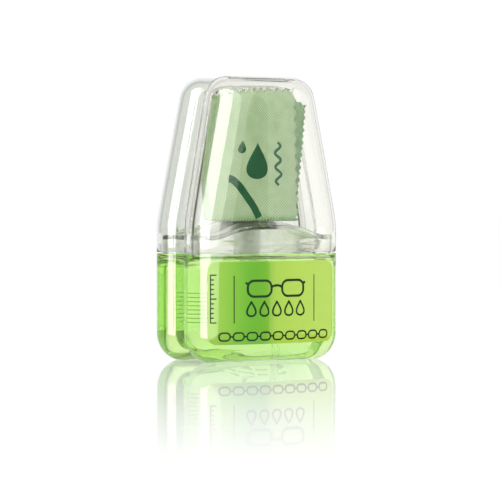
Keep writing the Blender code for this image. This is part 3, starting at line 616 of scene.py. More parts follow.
def painted_shade_behind(tree, split, colour):
    """Painted shade: the plies behind the front one are darkened towards the bundle's right only.
    Towards its left they stay pale, as a painted highlight.
    """
    parts = [map_range(tree, split[axis], (edge - 1.0, edge + 0.5))
             for axis, edge in (("X", CLOTH_WIDTH), ("Y", FOLD_HEIGHTS[0] - FOLD_HEIGHTS[1]))]
    # The painted shade fades out to the left, which leaves a painted highlight there.
    painted_shade_rightward = map_range(tree, object_place(tree)["X"],
                          [(CLOTH_RIGHT_X - part * CLOTH_WIDTH) * MM for part in (0.9, 0.6)])
    factor = calculate(tree, "MULTIPLY", calculate(tree, "MAXIMUM", *parts), painted_shade_rightward)
    return add_node(tree, "Mix", {"A": colour, "B": (*BEHIND_PLIES_PAINTED_SHADE, 1.0), "Factor": factor},
                    data_type="RGBA", blend_type="MULTIPLY")["Result"]


def cloth_material(name, dark, light, fibre_sheen, front_only=True):
    """Microfibre cloth: a fine weave, soft patches of tone and a fibre sheen."""
    mat, tree = new_material(name)
    flat = add_node(tree, "UVMap", uv_map=CLOTH_UV)["UV"]
    split = add_node(tree, "SeparateXYZ", {"Vector": flat})
    waves = [calculate(tree, "SINE", calculate(tree, "MULTIPLY", split[axis],
                                               2.0 * math.pi / THREAD_PITCH)) for axis in "XY"]
    weave = calculate(tree, "MULTIPLY_ADD", *waves, 0.5, clamp=True)
    patches = add_node(tree, "TexNoise", {"Vector": flat, "Scale": 0.35, "Detail": 5.0})
    drift = map_range(tree, patches["Fac"], (0.3, 0.7), (0.0, 0.3))
    blend = calculate(tree, "MULTIPLY_ADD", weave, 0.8, drift, clamp=True)
    colour = mixed_colour(tree, blend, dark, light)
    # Painted shade on the plies behind the front one.
    if not front_only:
        colour = painted_shade_behind(tree, split, colour)
    return finished(mat, {
        "Base Color": colour, "Normal": bump(tree, weave, 0.00006), "Roughness": 0.92,
        "Sheen Weight": fibre_sheen, "Sheen Roughness": 0.5})


# ---- Bottle, fluid and cap ---------------------------------------------------------------------

def thread_lift(angle, z, start_z):
    bearing = (angle % (2.0 * math.pi)) / (2.0 * math.pi)
    turns = (z - start_z) / PITCH - bearing
    nearest = round(turns)
    along = nearest + bearing
    if not 0.0 <= along <= THREAD_TURNS:
        return 0.0
    run_in = smooth_step(min(along, THREAD_TURNS - along) / THREAD_RUN_IN)
    off = abs(turns - nearest) * PITCH
    return run_in * smooth_step((THREAD_HALF - off) / THREAD_FLANK)


def thread_loops(bearings, root, height, start_z):
    low = start_z - THREAD_MARGIN
    high = start_z + PITCH * THREAD_TURNS + THREAD_MARGIN
    count = round((high - low) / (PITCH / THREAD_STEPS_PER_PITCH))
    return [[polar(root + height * thread_lift(angle, z, start_z), angle, z) for angle in bearings]
            for z in spread(low, high, count)]


def spigot_edge(x):
    arch = max(0.0, 1.0 - (x / ARCH_HALF_WIDTH) ** 2)
    return SPIGOT_EDGE_Z + SPIGOT_ARCH * arch * arch * (3.0 - 2.0 * arch)


def arched(loop, drop):
    return [(x, y, spigot_edge(x) - drop) for x, y, _ in loop]


def pad_rise(x, z):
    """Snap pad on the spigot's faces: a flat tab with a thicker ridge at its top."""
    across = min(smooth_step((abs(x) - PAD["inner"]) / PAD["edge"]),
                 smooth_step((PAD["outer"] - abs(x)) / PAD["edge"]))
    body = min(smooth_step((z - PAD["bottom"]) / PAD["edge"]), smooth_step((PAD["top"] - z) / 0.3))
    ridge = math.exp(-((z - PAD["top"] + 0.8) / 0.35) ** 2)
    return PAD["height"] * across * body * (0.35 + 0.65 * ridge)


def spigot_loop(z, inset):
    loop = []
    for x, y, _ in level_loop(PART_LINE_Z, inset):
        height = min(z, spigot_edge(x) - SPIGOT_FILLET)
        if abs(y) > LOBE_OFFSET + 0.5:
            y += math.copysign(pad_rise(x, height), y)
        loop.append((x, y, height))
    return loop


def shoulder_loops(edge, radius, top_z, drop):
    loops = []
    for part in spread(0.0, 1.0, SHOULDER_STEPS)[1:]:
        ring = ring_loop(edge, radius, top_z, part)
        ease = smooth_step(part)
        loop = []
        for (ax, ay, _), (bx, by, _) in zip(edge, ring):
            z = (spigot_edge(ax) - drop) * (1.0 - ease) + top_z * ease
            loop.append((ax + (bx - ax) * part, ay + (by - ay) * part, z))
        loops.append(loop)
    return loops


def make_bottle(mat):
    bm = bmesh.new()
    outer_rim = bag(bm, bottle_frames(PART_LINE_Z - RIM_ROUND, -FOOT_CUT), 0.0, floor=0.0)
    plain = level_loop(PART_LINE_Z, SPIGOT_INSET)
    outside = [level_loop(PART_LINE_Z - RIM_MIDDLE, RIM_MIDDLE),
               level_loop(PART_LINE_Z, RIM_ROUND), plain]
    for z in spread(PART_LINE_Z, SPIGOT_EDGE_Z - SPIGOT_FILLET, SPIGOT_ROWS)[1:]:
        outside.append(spigot_loop(z, SPIGOT_INSET))
    outside.append(arched(plain, SPIGOT_FILLET))
    for angle in spread(0.0, math.pi / 2.0, SPIGOT_ROUND_STEPS)[1:]:
        inset = SPIGOT_INSET + SPIGOT_FILLET * (1.0 - math.cos(angle))
        drop = SPIGOT_FILLET * (1.0 - math.sin(angle))
        edge = arched(level_loop(PART_LINE_Z, inset), drop)
        outside.append(edge)
    outside += shoulder_loops(edge, NECK_ROOT, NECK_BASE_Z, 0.0)
    bearings = [math.atan2(y, x) for x, y, _ in ring_loop(edge, 1.0, 0.0)]
    outside += thread_loops(bearings, NECK_ROOT, THREAD_HEIGHT, THREAD_START_Z)
    outside.append(ring_loop(edge, NECK_ROOT, NECK_TOP_Z - 0.2))
    outside.append(ring_loop(edge, NECK_ROOT - 0.2, NECK_TOP_Z))
    inner_inset = SPIGOT_INSET + SPIGOT_WALL
    inner_edge = arched(level_loop(PART_LINE_Z, inner_inset), WALL)
    inside = shoulder_loops(inner_edge, NECK_BORE, NECK_BASE_Z - WALL, WALL)[::-1]
    inside = [ring_loop(edge, NECK_BORE, NECK_TOP_Z)] + inside
    inside += [inner_edge, level_loop(PART_LINE_Z + 0.2, inner_inset),
               level_loop(PART_LINE_Z - 0.4, inner_inset - 0.25),
               level_loop(PART_LINE_Z - 1.1, BODY_WALL + 0.45)]
    made = bridge_all(bm, outside + inside)
    bridge(bm, outer_rim, made[0])
    inner = bag(bm, bottle_frames(PART_LINE_Z - LEDGE, BASE_LIFT), BODY_WALL)
    bridge(bm, made[-1], inner)
    return make_object("bottle_shell", bm, mat)


def make_fluid(mat):
    """The fluid reaches into the wall, as its colour does when it is seen through the wall."""
    bm = bmesh.new()
    rim = bag(bm, bottle_frames(PART_LINE_Z - LEDGE, BASE_LIFT), FLUID_SKIN)
    loops = [
        level_loop(PART_LINE_Z - 0.5, FLUID_SKIN),
        level_loop(PART_LINE_Z - 0.3, FLUID_SKIN + 0.25),
        level_loop(PART_LINE_Z - 0.3, SPIGOT_INSET + 0.5),
        level_loop(FLUID_LEVEL_Z, SPIGOT_INSET + SPIGOT_WALL - 0.3),
        level_loop(FLUID_LEVEL_Z - 0.25, SPIGOT_INSET + SPIGOT_WALL - 0.05),
    ]
    made = bridge_all(bm, loops)
    bridge(bm, rim, made[0])
    front, rear, left, right = loop_sides(made[-1])
    rows = [left]
    for a, b in zip(front, rear):
        scale = (b.co.y - a.co.y) / (left[-1].co.y - left[0].co.y)
        middle = [(a.co.x, end.co.y * scale, a.co.z) for end in left[1:-1]]
        rows.append([a] + add_loop(bm, middle) + [b])
    fill_rows(bm, rows + [right])
    return make_object("fluid_body", bm, mat)


def make_cap(mat):
    bm = bmesh.new()
    first_z = PART_LINE_Z + GAP
    outer = bag(bm, top_frames(first_z + RIM_ROUND), 0.0)
    rolled = [level_loop(first_z + RIM_MIDDLE, RIM_MIDDLE), level_loop(first_z, RIM_ROUND),
              level_loop(first_z, WALL - RIM_ROUND),
              level_loop(first_z + RIM_MIDDLE, WALL - RIM_MIDDLE)]
    made = bridge_all(bm, rolled)
    bridge(bm, outer, made[0])
    inner = bag(bm, top_frames(first_z + RIM_ROUND), WALL)
    bridge(bm, made[-1], inner)
    return make_object("cap_shell", bm, mat)


# ---- Labels ------------------------------------------------------------------------------------

def face_y(x, z, proud):
    return lobe_offset(z) + SIDE_RADIUS + proud + crown_at(x, z)


def film_point(x, z, sign, proud):
    """A point on a lobe's face; near the edge the film follows the edge's round."""
    over = max(0.0, abs(x) - (HALF_WIDTH - SIDE_RADIUS))
    sag = SIDE_RADIUS - math.sqrt(SIDE_RADIUS ** 2 - over * over)
    return (x, sign * (face_y(x, z, proud) - sag), z)


def label_columns(label):
    corner = label["corner"]
    inner = label["half_width"] - corner
    step = math.pi / 2.0 / LABEL_CORNER_COLUMNS
    right = [inner + corner * math.cos(step * k) for k in range(LABEL_CORNER_COLUMNS)]
    right += [inner * (1.0 - k / LABEL_COLUMNS) for k in range(LABEL_COLUMNS)]
    return [-x for x in right] + [0.0] + right[::-1]


def label_span(label, x):
    over = max(0.0, abs(x) - (label["half_width"] - label["corner"]))
    cut = label["corner"] - math.sqrt(max(0.0, label["corner"] ** 2 - over * over))
    return label["bottom"] + cut, label["top"] - cut


def make_label(name, label, sign, mat):
    """A closed film whose inner face sits a hair inside the bottle's wall."""
    bm = bmesh.new()
    sheets = []
    for proud in (-FILM_BED, FILM_PROUD):
        sheet = []
        for x in label_columns(label):
            heights = spread(*label_span(label, x), LABEL_ROWS)
            sheet.append(add_loop(bm, [film_point(x, z, sign, proud) for z in heights]))
        sheets.append(sheet)
    inner, outer = sheets
    fill_rows(bm, inner)
    fill_rows(bm, outer)
    for a, b, c, d in zip(inner, inner[1:], outer, outer[1:]):
        bm.faces.new((a[0], b[0], d[0], c[0]))
        bm.faces.new((a[-1], b[-1], d[-1], c[-1]))
    fill_rows(bm, [inner[0], outer[0]])
    fill_rows(bm, [inner[-1], outer[-1]])
    return make_object(name, bm, mat)


# ---- Printed shapes ----------------------------------------------------------------------------
# A print is drawn in a surface's own (u, v) millimetres; place(u, v, height) puts it there.
# Its ink is a mesh, that place function and the ink's thickness.

def arc(centre, size, start, end, steps=24):
    """Points along an ellipse, by angle in degrees."""
    turns = [math.radians(turn) for turn in spread(start, end, steps)]
    return [(centre[0] + size[0] * math.cos(turn), centre[1] + size[1] * math.sin(turn))
            for turn in turns]


def line(start, end, step=0.6):
    length = math.dist(start, end)
    count = max(1, round(length / step))
    return [tuple(a + (b - a) * k / count for a, b in zip(start, end)) for k in range(count + 1)]


def rounded_box(centre, width, height, radius, steps=6):
    cu, cv = centre
    points = []
    for turn, (su, sv) in enumerate(((1, 1), (-1, 1), (-1, -1), (1, -1))):
        corner = (cu + su * (width / 2 - radius), cv + sv * (height / 2 - radius))
        points += arc(corner, (radius, radius), 90 * turn, 90 * turn + 90, steps)
    ring = []
    for a, b in zip(points, points[1:] + points[:1]):
        ring += line(a, b)[:-1]
    return ring


def droplet(centre, size, steps=40):
    """A drop's outline with its tip up; size is half its height."""
    points = []
    for k in range(steps):
        angle = 2.0 * math.pi * k / steps
        swell = math.sin(angle / 2.0) ** 1.5
        points.append((centre[0] + 0.95 * size * math.sin(angle) * swell,
                       centre[1] + size * math.cos(angle)))
    return points


def stroke(ink, path, width, closed=False):
    """A printed line of even width along a path, as a thin closed solid."""
    bm, place, thick = ink
    count = len(path)
    rails = []
    for i, (u, v) in enumerate(path):
        before = path[i - 1] if closed or i else path[i]
        after = path[(i + 1) % count] if closed or i < count - 1 else path[i]
        du = after[0] - before[0]
        dv = after[1] - before[1]
        length = math.hypot(du, dv) or 1.0
        nu = -dv / length * width / 2.0
        nv = du / length * width / 2.0
        corners = ((1, 0.0), (1, thick), (-1, thick), (-1, 0.0))
        rails.append(add_loop(bm, [place(u + side * nu, v + side * nv, height)
                                   for side, height in corners]))
    spans = list(zip(rails, rails[1:]))
    if closed:
        spans.append((rails[-1], rails[0]))
    for a, b in spans:
        bridge(bm, a, b)
    if not closed:
        bm.faces.new(rails[0])
        bm.faces.new(rails[-1][::-1])


def solid_shape(ink, outline, rings=4):
    """A filled printed shape that follows the surface in rings about its middle."""
    bm, place, thick = ink
    cu = sum(u for u, _ in outline) / len(outline)
    cv = sum(v for _, v in outline) / len(outline)
    loops = []
    for ring in range(rings):
        part = 1.0 - ring / rings
        points = [(cu + (u - cu) * part, cv + (v - cv) * part) for u, v in outline]
        loops.append(add_loop(bm, [place(u, v, thick) for u, v in points]))
    base = add_loop(bm, [place(u, v, 0.0) for u, v in outline])
    bridge(bm, base, loops[0])
    for a, b in zip(loops, loops[1:]):
        bridge(bm, a, b)
    middle = bm.verts.new(place(cu, cv, thick))
    last = loops[-1]
    for a, b in zip(last, last[1:] + last[:1]):
        bm.faces.new((a, b, middle))
    bm.faces.new(base[::-1])


def spectacles(ink, centre, width, pen):
    """A generic pair of spectacles seen from the front."""
    cu, cv = centre
    lens = 0.39 * width
    height = 0.6 * lens
    for side in (-1, 1):
        middle = (cu + side * (width / 2.0 - lens / 2.0 - 0.3), cv)
        rim = rounded_box(middle, lens, height, 0.42 * height)
        stroke(ink, rim, pen, closed=True)
        tip = (cu + side * (width / 2.0 + 0.35), cv + 0.36 * height)
        stroke(ink, line((cu + side * (width / 2.0 - 0.5), cv + 0.3 * height), tip), pen)
    gap = width / 2.0 - lens - 0.3
    stroke(ink, arc((cu, cv + 0.05), (gap, 0.7), 0, 180, 12), pen)


def print_front_label(mat):
    def place(u, v, height):
        return film_point(u, v, -1.0, FILM_PROUD - INK_BED + height)

    bm = bmesh.new()
    ink = (bm, place, INK)
    for side in (-1, 1):
        stroke(ink, line((side * 12.1, 10.4), (side * 12.1, 22.6)), 0.28)
    spectacles(ink, (0.0, 19.2), 17.4, 0.62)
    for k in range(5):
        stroke(ink, droplet((3.7 * (k - 2), 14.0), 1.85), 0.5, closed=True)
    chain_x, chain_z, pitch, pen = -14.6, 6.95, 3.75, 0.42
    for k in range(9):
        link = rounded_box((chain_x + pitch * k, chain_z), 2.9, 2.0, 0.95)
        stroke(ink, link, pen, closed=True)
        if k < 8:
            between = chain_x + pitch * (k + 0.5)
            stroke(ink, line((between - 0.3, chain_z), (between + 0.3, chain_z)), pen)
    scale_x = -18.2
    for k in range(11):
        z = 10.6 + 1.22 * k
        reach = 1.5 if k % 5 == 0 else 0.85
        stroke(ink, line((scale_x, z), (scale_x + reach, z), 0.3), 0.32)
    stroke(ink, line((scale_x, 10.5), (scale_x, 22.9)), 0.28)
    return make_object("front_label_print", bm, mat)


def print_rear_label(mat):
    def place(u, v, height):
        return film_point(-u, v, 1.0, FILM_PROUD - INK_BED + height)

    bm = bmesh.new()
    ink = (bm, place, INK)
    symbols_z, margin = 20.2, 15.4
    solid_shape(ink, droplet((-14.0, symbols_z), 1.7))
    spectacles(ink, (-7.6, symbols_z), 8.4, 0.3)
    for row in range(8):
        z = 17.2 - 1.1 * row
        left = -margin
        for word in range(6):
            length = 2.6 + 1.7 * math.sin(2.3 * row + 1.7 * word) ** 2
            right = min(left + length, margin)
            if right - left > 0.8:
                stroke(ink, line((left, z), (right, z)), 0.3)
            left = right + 0.9
    stroke(ink, rounded_box((11.2, symbols_z), 7.4, 3.2, 0.6), 0.22, closed=True)
    for k in range(3):
        stroke(ink, arc((8.9 + 2.3 * k, symbols_z), (0.8, 0.8), 0, 360), 0.22)
    return make_object("rear_label_print", bm, mat)


# ---- Folded cloth --------------------------------------------------------------------------------
# The cloth is one sheet: folded in five across, then in four from the top down. A place in
# the bundle is (place, z, depth): millimetres in from its right edge, height, and plies
# behind its front.

def cap_depth(x, z):
    """Distance from (x, z) out to the cap's outline, seen from the front."""
    (centre_x, centre_z), _ = top_corner()
    over_x = abs(x) - centre_x
    over_z = z - centre_z
    if over_x > 0.0 and over_z > 0.0:
        return TOP_CORNER - math.hypot(over_x, over_z)
    return min((side_x(z) - abs(x)) * math.cos(math.atan(SIDE_TAPER)), HEIGHT - z)


def cap_inside_y(x, z, inset):
    """Distance of the front lobe's inner face from the parting plane at (x, z)."""
    radius = SIDE_RADIUS - inset
    short = min(max(0.0, SIDE_RADIUS - cap_depth(x, z)), radius)
    rise = math.sqrt(radius * radius - short * short)
    share = 0.5 + 0.5 * rise / radius
    return lobe_offset(z) + rise + share * crown_at(x, z)


def cloth_squeeze(z):
    """How much the bundle is narrowed at height z, where the cap leaves less room."""
    x = CLOTH_RIGHT_X - CLOTH_WIDTH
    while cap_depth(x, z) < CLOTH_EDGE_DEPTH:
        x += 0.05
    return x - (CLOTH_RIGHT_X - CLOTH_WIDTH)


def cloth_point(place, z, depth, lean=0.0):
    squeeze = cloth_squeeze(z)
    gathered = squeeze * smooth_step((place - GATHER_FROM) / (CLOTH_WIDTH - GATHER_FROM))
    x = CLOTH_RIGHT_X - place + gathered + lean
    soft = 0.12 * math.sin(0.45 * place + 0.21 * z) + 0.1 * math.sin(0.17 * z - 0.3 * place)
    pleat = 0.03 * squeeze * math.sin(1.15 * place) * smooth_step((place - GATHER_FROM) / 8.0)
    y = -cap_inside_y(x, z, WALL + CLOTH_GAP) + depth * PLY + soft + pleat
    return x, y, z


def across_stations():
    """(cloth coordinate, place, ply) across the sheet, round its folds."""
    stations = []
    run = 0.0
    for panel in range(FOLDS_ACROSS):
        near = FRONT_BORDER if panel else 0.0
        width = CLOTH_WIDTH - near
        for k in range(PANEL_COLUMNS + 1):
            part = k / PANEL_COLUMNS
            place = near + width * (part if panel % 2 == 0 else 1.0 - part)
            stations.append((run + width * part, place, panel + 0.5))
        run += width
        if panel == FOLDS_ACROSS - 1:
            break
        edge = CLOTH_WIDTH if panel % 2 == 0 else FRONT_BORDER
        out = PLY / 2.0 if panel % 2 == 0 else -PLY / 2.0
        for k in range(1, 3):
            angle = math.pi * k / 3.0
            stations.append((run, edge + out * math.sin(angle), panel + 1.0 - 0.5 * math.cos(angle)))
    return stations


def down_stations():
    """(cloth coordinate, height, stack, fold angle or None, way of the fold, lean)."""
    stations = []
    run = 0.0
    for stack in range(len(FOLD_HEIGHTS) - 1):
        start = FOLD_HEIGHTS[stack]
        end = FOLD_HEIGHTS[stack + 1]
        length = abs(end - start)
        rows = round(length / (PINK_PITCH / 2.0))
        for k in range(rows + 1):
            part = k / rows
            lean = FOLD_LEANS[stack] + (FOLD_LEANS[stack + 1] - FOLD_LEANS[stack]) * part
            stations.append((run + length * part, start + (end - start) * part, stack, None, 0, lean))
        run += length
        if stack == len(FOLD_HEIGHTS) - 2:
            break
        way = 1 if end > start else -1
        for k in range(1, 5):
            angle = math.pi * k / 5.0
            stations.append((run, end, stack, angle, way, FOLD_LEANS[stack + 1]))
    return stations


def bundle_point(across, down):
    _, place, ply = across
    _, z, stack, angle, way, lean = down
    inside = ply if stack % 2 == 0 else FOLDS_ACROSS - ply
    if angle is None:
        return cloth_point(place, z, stack * FOLDS_ACROSS + inside, lean)
    radius = FOLDS_ACROSS - inside
    depth = (stack + 1) * FOLDS_ACROSS - radius * math.cos(angle)
    x, y, _ = cloth_point(place, z, depth, lean)
    return x, y, z + way * radius * PLY * math.sin(angle)


def notch(index):
    """Every second point of a cut edge is cut back, which makes its zigzag."""
    return PINK_DEPTH * (index % 2)


def make_cloth(mat):
    across = across_stations()
    down = down_stations()
    bm = bmesh.new()
    flat = bm.loops.layers.uv.new(CLOTH_UV)
    grid = []
    for i, (s, place, ply) in enumerate(across):
        column = []
        for j, row in enumerate(down):
            t, z, stack, angle, way, lean = row
            here = (s, place, ply)
            if i == 0:
                here = (s, place + notch(j), ply)
            if i == len(across) - 1:
                here = (s, place - notch(j), ply)
            if j == 0:
                low = TOP_SKEW * smooth_step(s / CLOTH_WIDTH - 0.5)
                row = (t, z - low - notch(i), stack, angle, way, lean)
            if j == len(down) - 1:
                row = (t, z - notch(i), stack, angle, way, lean)
            column.append((bm.verts.new(bundle_point(here, row)), (s, t)))
        grid.append(column)
    for a, b in zip(grid, grid[1:]):
        for k in range(len(down) - 1):
            corners = (a[k], a[k + 1], b[k + 1], b[k])
            face = bm.faces.new([vert for vert, _ in corners])
            for loop, (_, uv) in zip(face.loops, corners):
                loop[flat].uv = uv
    cloth = make_object("folded_cloth", bm, mat, closed=False)
    thickness = cloth.modifiers.new("ply", "SOLIDIFY")
    thickness.thickness = CLOTH_PLY_THICKNESS * MM
    thickness.offset = 0.0
    return cloth


def print_cloth(mat):
    """Generic motifs on the front ply: a drop, a ripple and part of a wave."""
    def place(u, v, height):
        return cloth_point(u, v, 0.5 - (CLOTH_PLY_THICKNESS / 2.0 - INK_BED + height) / PLY)

    bm = bmesh.new()
    ink = (bm, place, CLOTH_INK)
    solid_shape(ink, droplet((12.8, 52.0), 4.7), rings=8)
    solid_shape(ink, droplet((17.5, 55.6), 1.7))
    ripple = [(6.4 + 0.85 * math.sin(6.0 * math.pi * part), 45.8 + 11.0 * part)
              for part in spread(0.0, 1.0, 60)]
    stroke(ink, ripple, 0.75)
    wave = [(20.4 - 8.0 * part, 47.4 - 3.6 * smooth_step(part * 1.4) - 6.4 * part ** 3)
            for part in spread(0.0, 1.0, 40)]
    stroke(ink, wave, 1.9)
    printed = make_object("cloth_print", bm, mat)
    flat = printed.data.uv_layers.new(name=CLOTH_UV)
    for corner in printed.data.loops:
        point = printed.data.vertices[corner.vertex_index].co
        flat.data[corner.index].uv = (point.x / MM, point.z / MM)
    return printed


# ---- Pump ----------------------------------------------------------------------------------------

def turned_mesh(profile, segments=TURN_SEGMENTS, radius_at=None):
    """A closed (radius, height) profile turned round Z; radius_at may vary it by bearing."""
    bm = bmesh.new()
    rings = []
    for k in range(segments):
        angle = 2.0 * math.pi * k / segments
        rings.append(add_loop(bm, [polar(radius_at(radius, z, angle) if radius_at else radius, angle, z)
                                   for radius, z in profile]))
    for k in range(segments):
        a = rings[k]
        b = rings[(k + 1) % segments]
        for i in range(len(profile)):
            j = (i + 1) % len(profile)
            if profile[i][0] > 0.0 or profile[j][0] > 0.0:
                bm.faces.new((a[i], a[j], b[j], b[i]))
    return bm


def softened(profile, bevel, steps=3):
    """The profile with each of its corners rounded by a small arc."""
    points = []
    count = len(profile)
    for i, corner in enumerate(profile):
        here = Vector(corner)
        before = Vector(profile[i - 1]) - here
        after = Vector(profile[(i + 1) % count]) - here
        reach = min(bevel, 0.4 * before.length, 0.4 * after.length)
        if corner[0] <= 0.0 or reach < 1e-3:
            points.append(corner)
            continue
        start = here + before.normalized() * reach
        end = here + after.normalized() * reach
        for k in range(steps + 1):
            t = k / steps
            point = start * (1 - t) ** 2 + here * 2 * t * (1 - t) + end * t * t
            points.append((point.x, point.y))
    return points


def make_collar(mat):
    """Ribbed screw collar with an internal thread and a raised turret."""
    root = NECK_ROOT + THREAD_HEIGHT + 0.4
    hole = STEM_RADIUS + 1.1
    outside = [
        (COLLAR_RADIUS - 0.5, COLLAR_BOTTOM_Z), (COLLAR_RADIUS - 0.25, COLLAR_BOTTOM_Z + 0.2),
        (COLLAR_RADIUS - 0.25, COLLAR_BOTTOM_Z + 0.9), (COLLAR_RADIUS, COLLAR_BOTTOM_Z + 1.2),
        (COLLAR_RADIUS, COLLAR_TOP_Z - 1.4), (COLLAR_RADIUS - 0.25, COLLAR_TOP_Z - 1.1),
        (COLLAR_RADIUS - 0.25, COLLAR_TOP_Z - 0.9), (COLLAR_RADIUS - 0.5, COLLAR_TOP_Z - 0.35),
        (COLLAR_RADIUS - 0.9, COLLAR_TOP_Z - 0.06), (COLLAR_RADIUS - 1.5, COLLAR_TOP_Z),
        (TURRET_RADIUS + 0.4, COLLAR_TOP_Z), (TURRET_RADIUS + 0.1, COLLAR_TOP_Z + 0.1),
        (TURRET_RADIUS, COLLAR_TOP_Z + 0.4), (TURRET_RADIUS, TURRET_TOP_Z - 0.3),
        (TURRET_RADIUS - 0.1, TURRET_TOP_Z - 0.08), (TURRET_RADIUS - 0.3, TURRET_TOP_Z),
        (TURRET_RADIUS - 0.9, TURRET_TOP_Z), (TURRET_RADIUS - 0.9, COLLAR_TOP_Z + 0.4),
        (hole, COLLAR_TOP_Z), (hole, COLLAR_PLATE_Z), (root, COLLAR_PLATE_Z),
    ]
    start_z = THREAD_START_Z + PITCH / 2.0
    inside = [(root, z) for z in spread(COLLAR_PLATE_Z, COLLAR_BOTTOM_Z + 0.3, 44)[1:-1]]
    inside.append((root, COLLAR_BOTTOM_Z))

    def radius_at(radius, z, angle):
        if radius > COLLAR_RADIUS - 0.1:
            return radius - RIB_DEPTH * (0.5 + 0.5 * math.cos(COLLAR_RIBS * angle)) ** 2
        if abs(radius - root) < 1e-6 and z < COLLAR_PLATE_Z - 0.2:
            return radius - THREAD_HEIGHT * thread_lift(angle, z, start_z)
        return radius

    bm = turned_mesh(outside + inside, 8 * COLLAR_RIBS, radius_at)
    return make_object("collar_ribbed", bm, mat)


def tube_shift(z):
    """Part of the dip tube's sideways shift that is reached at height z, 0 to 1."""
    t = min(1.0, max(0.0, (TAIL_END_Z - z) / (TAIL_END_Z - TUBE_FOOT_Z)))
    return t * t * (3.0 - 2.0 * t) + TUBE_END_LEAN * (t * t * t - t * t)


def swept(bm, points, radius, sides):
    """Rings of a round tube along a path of points."""
    rings = []
    side = Vector((0.31, 0.95, 0.0))
    for i, point in enumerate(points):
        before = points[max(0, i - 1)]
        after = points[min(len(points) - 1, i + 1)]
        along = (after - before).normalized()
        side = (side - along * side.dot(along)).normalized()
        up = along.cross(side)
        ring = []
        for k in range(sides):
            angle = 2.0 * math.pi * k / sides
            ring.append(bm.verts.new(point + radius * (math.cos(angle) * side + math.sin(angle) * up)))
        rings.append(ring)
    for a, b in zip(rings, rings[1:]):
        bridge(bm, a, b)
    return rings


def make_tube(mat):
    points = []
    for z in spread(SEAT_Z - 0.9, TUBE_FOOT_Z, 48):
        shift = tube_shift(z)
        points.append(Vector((TUBE_FOOT[0] * shift, TUBE_FOOT[1] * shift, z)))
    bm = bmesh.new()
    outer = swept(bm, points, TUBE_RADIUS, 24)
    inner = swept(bm, points, TUBE_BORE, 24)
    bridge(bm, outer[0], inner[0])
    bridge(bm, outer[-1], inner[-1])
    return make_object("dip_tube_drawn", bm, mat)


def make_spring(name, spring, low, high, mat):
    """A round-wire coil spring whose end turns are closed."""
    radius = spring["radius"]
    wire = spring["wire"]
    turns = spring["turns"]
    steps = 28 * turns
    end = 1.0 / turns
    closed = 1.15 * wire
    rise = high - low - wire
    points = []
    for step in range(steps + 1):
        part = step / steps
        angle = 2.0 * math.pi * turns * part
        at_ends = min(part, end) + min(max(0.0, part - (1.0 - end)), end)
        free = min(max(0.0, (part - end) / (1.0 - 2.0 * end)), 1.0)
        z = low + wire / 2.0 + closed * at_ends / end + free * (rise - 2.0 * closed)
        points.append(Vector(polar(radius, angle, z)))
    bm = bmesh.new()
    rings = swept(bm, points, wire / 2.0, 12)
    bm.faces.new(rings[0][::-1])
    bm.faces.new(rings[-1])
    return make_object(name, bm, mat)


def make_button(mat):
    """Finger button: telescoping skirt, dished top with grip ridges and a nozzle pocket."""
    skirt_inner = TURRET_RADIUS + GAP
    ceiling = BUTTON_BOTTOM_Z + SKIRT_DEPTH
    socket = STEM_RADIUS + GAP
    boss = socket + 0.75
    rim = BUTTON_RADIUS - BUTTON_ROUND
    dish = []
    for k in range(25):
        radius = rim * (1.0 - k / 24.0)
        ridge = 0.0
        if radius < rim - 0.4:
            ridge = GRIP_HEIGHT * math.cos(2.0 * math.pi * radius / GRIP_PITCH)
        dish.append((radius, BUTTON_TOP_Z - DISH_DEPTH * (1.0 - (radius / rim) ** 2) + ridge))
    shoulder = arc((rim, BUTTON_TOP_Z - BUTTON_ROUND), (BUTTON_ROUND, BUTTON_ROUND), 0, 90, 10)
    inside = [
        (0.0, STEM_TOP_Z + 1.1), (socket - 0.6, STEM_TOP_Z + 1.1),
        (socket - 0.6, STEM_TOP_Z + GAP), (socket, STEM_TOP_Z + GAP), (socket, ceiling - 1.6),
        (boss, ceiling - 1.6), (boss, ceiling), (skirt_inner, ceiling),
        (skirt_inner, BUTTON_BOTTOM_Z), (BUTTON_RADIUS - 0.15, BUTTON_BOTTOM_Z),
        (BUTTON_RADIUS, BUTTON_BOTTOM_Z + 0.15),
    ]
    button = make_object("button_moulded", turned_mesh(shoulder + dish + inside), mat)
    near, far = POCKET_DEPTHS
    cutter_mesh = turned_mesh([(0.0, near), (0.0, far), (NOZZLE_RADIUS + GAP, far),
                               (NOZZLE_RADIUS + GAP, near)], 48)
    aim_forward(cutter_mesh)
    cutter = make_object("nozzle_cutter", cutter_mesh, None)
    cutter.hide_render = True
    cutter.display_type = "WIRE"
    pocket = button.modifiers.new("pocket", "BOOLEAN")
    pocket.object = cutter
    pocket.solver = "EXACT"
    return button


def aim_forward(bm):
    """Turn a mesh made along +Z to point along -Y at the nozzle's height."""
    rotation = Vector((0, 0, 1)).rotation_difference(Vector((0, -1, 0))).to_matrix()
    bmesh.ops.rotate(bm, verts=bm.verts, cent=(0, 0, 0), matrix=rotation)
    bmesh.ops.translate(bm, verts=bm.verts, vec=(0.0, 0.0, NOZZLE_Z))


def make_insert(mat):
    front = BUTTON_RADIUS + 0.1
    profile = [
        (0.2, front - 0.25), (0.75, front), (NOZZLE_RADIUS - 0.25, front),
        (NOZZLE_RADIUS, front - 0.25), (NOZZLE_RADIUS, INSERT_REAR), (NOZZLE_RADIUS - 0.7, INSERT_REAR),
        (NOZZLE_RADIUS - 0.7, front - 0.6), (0.2, front - 0.6),
    ]
    bm = turned_mesh(softened(profile, 0.08), 64)
    aim_forward(bm)
    return make_object("nozzle_insert", bm, mat)


# ---- Camera, light and surroundings -----------------------------------------------------------------

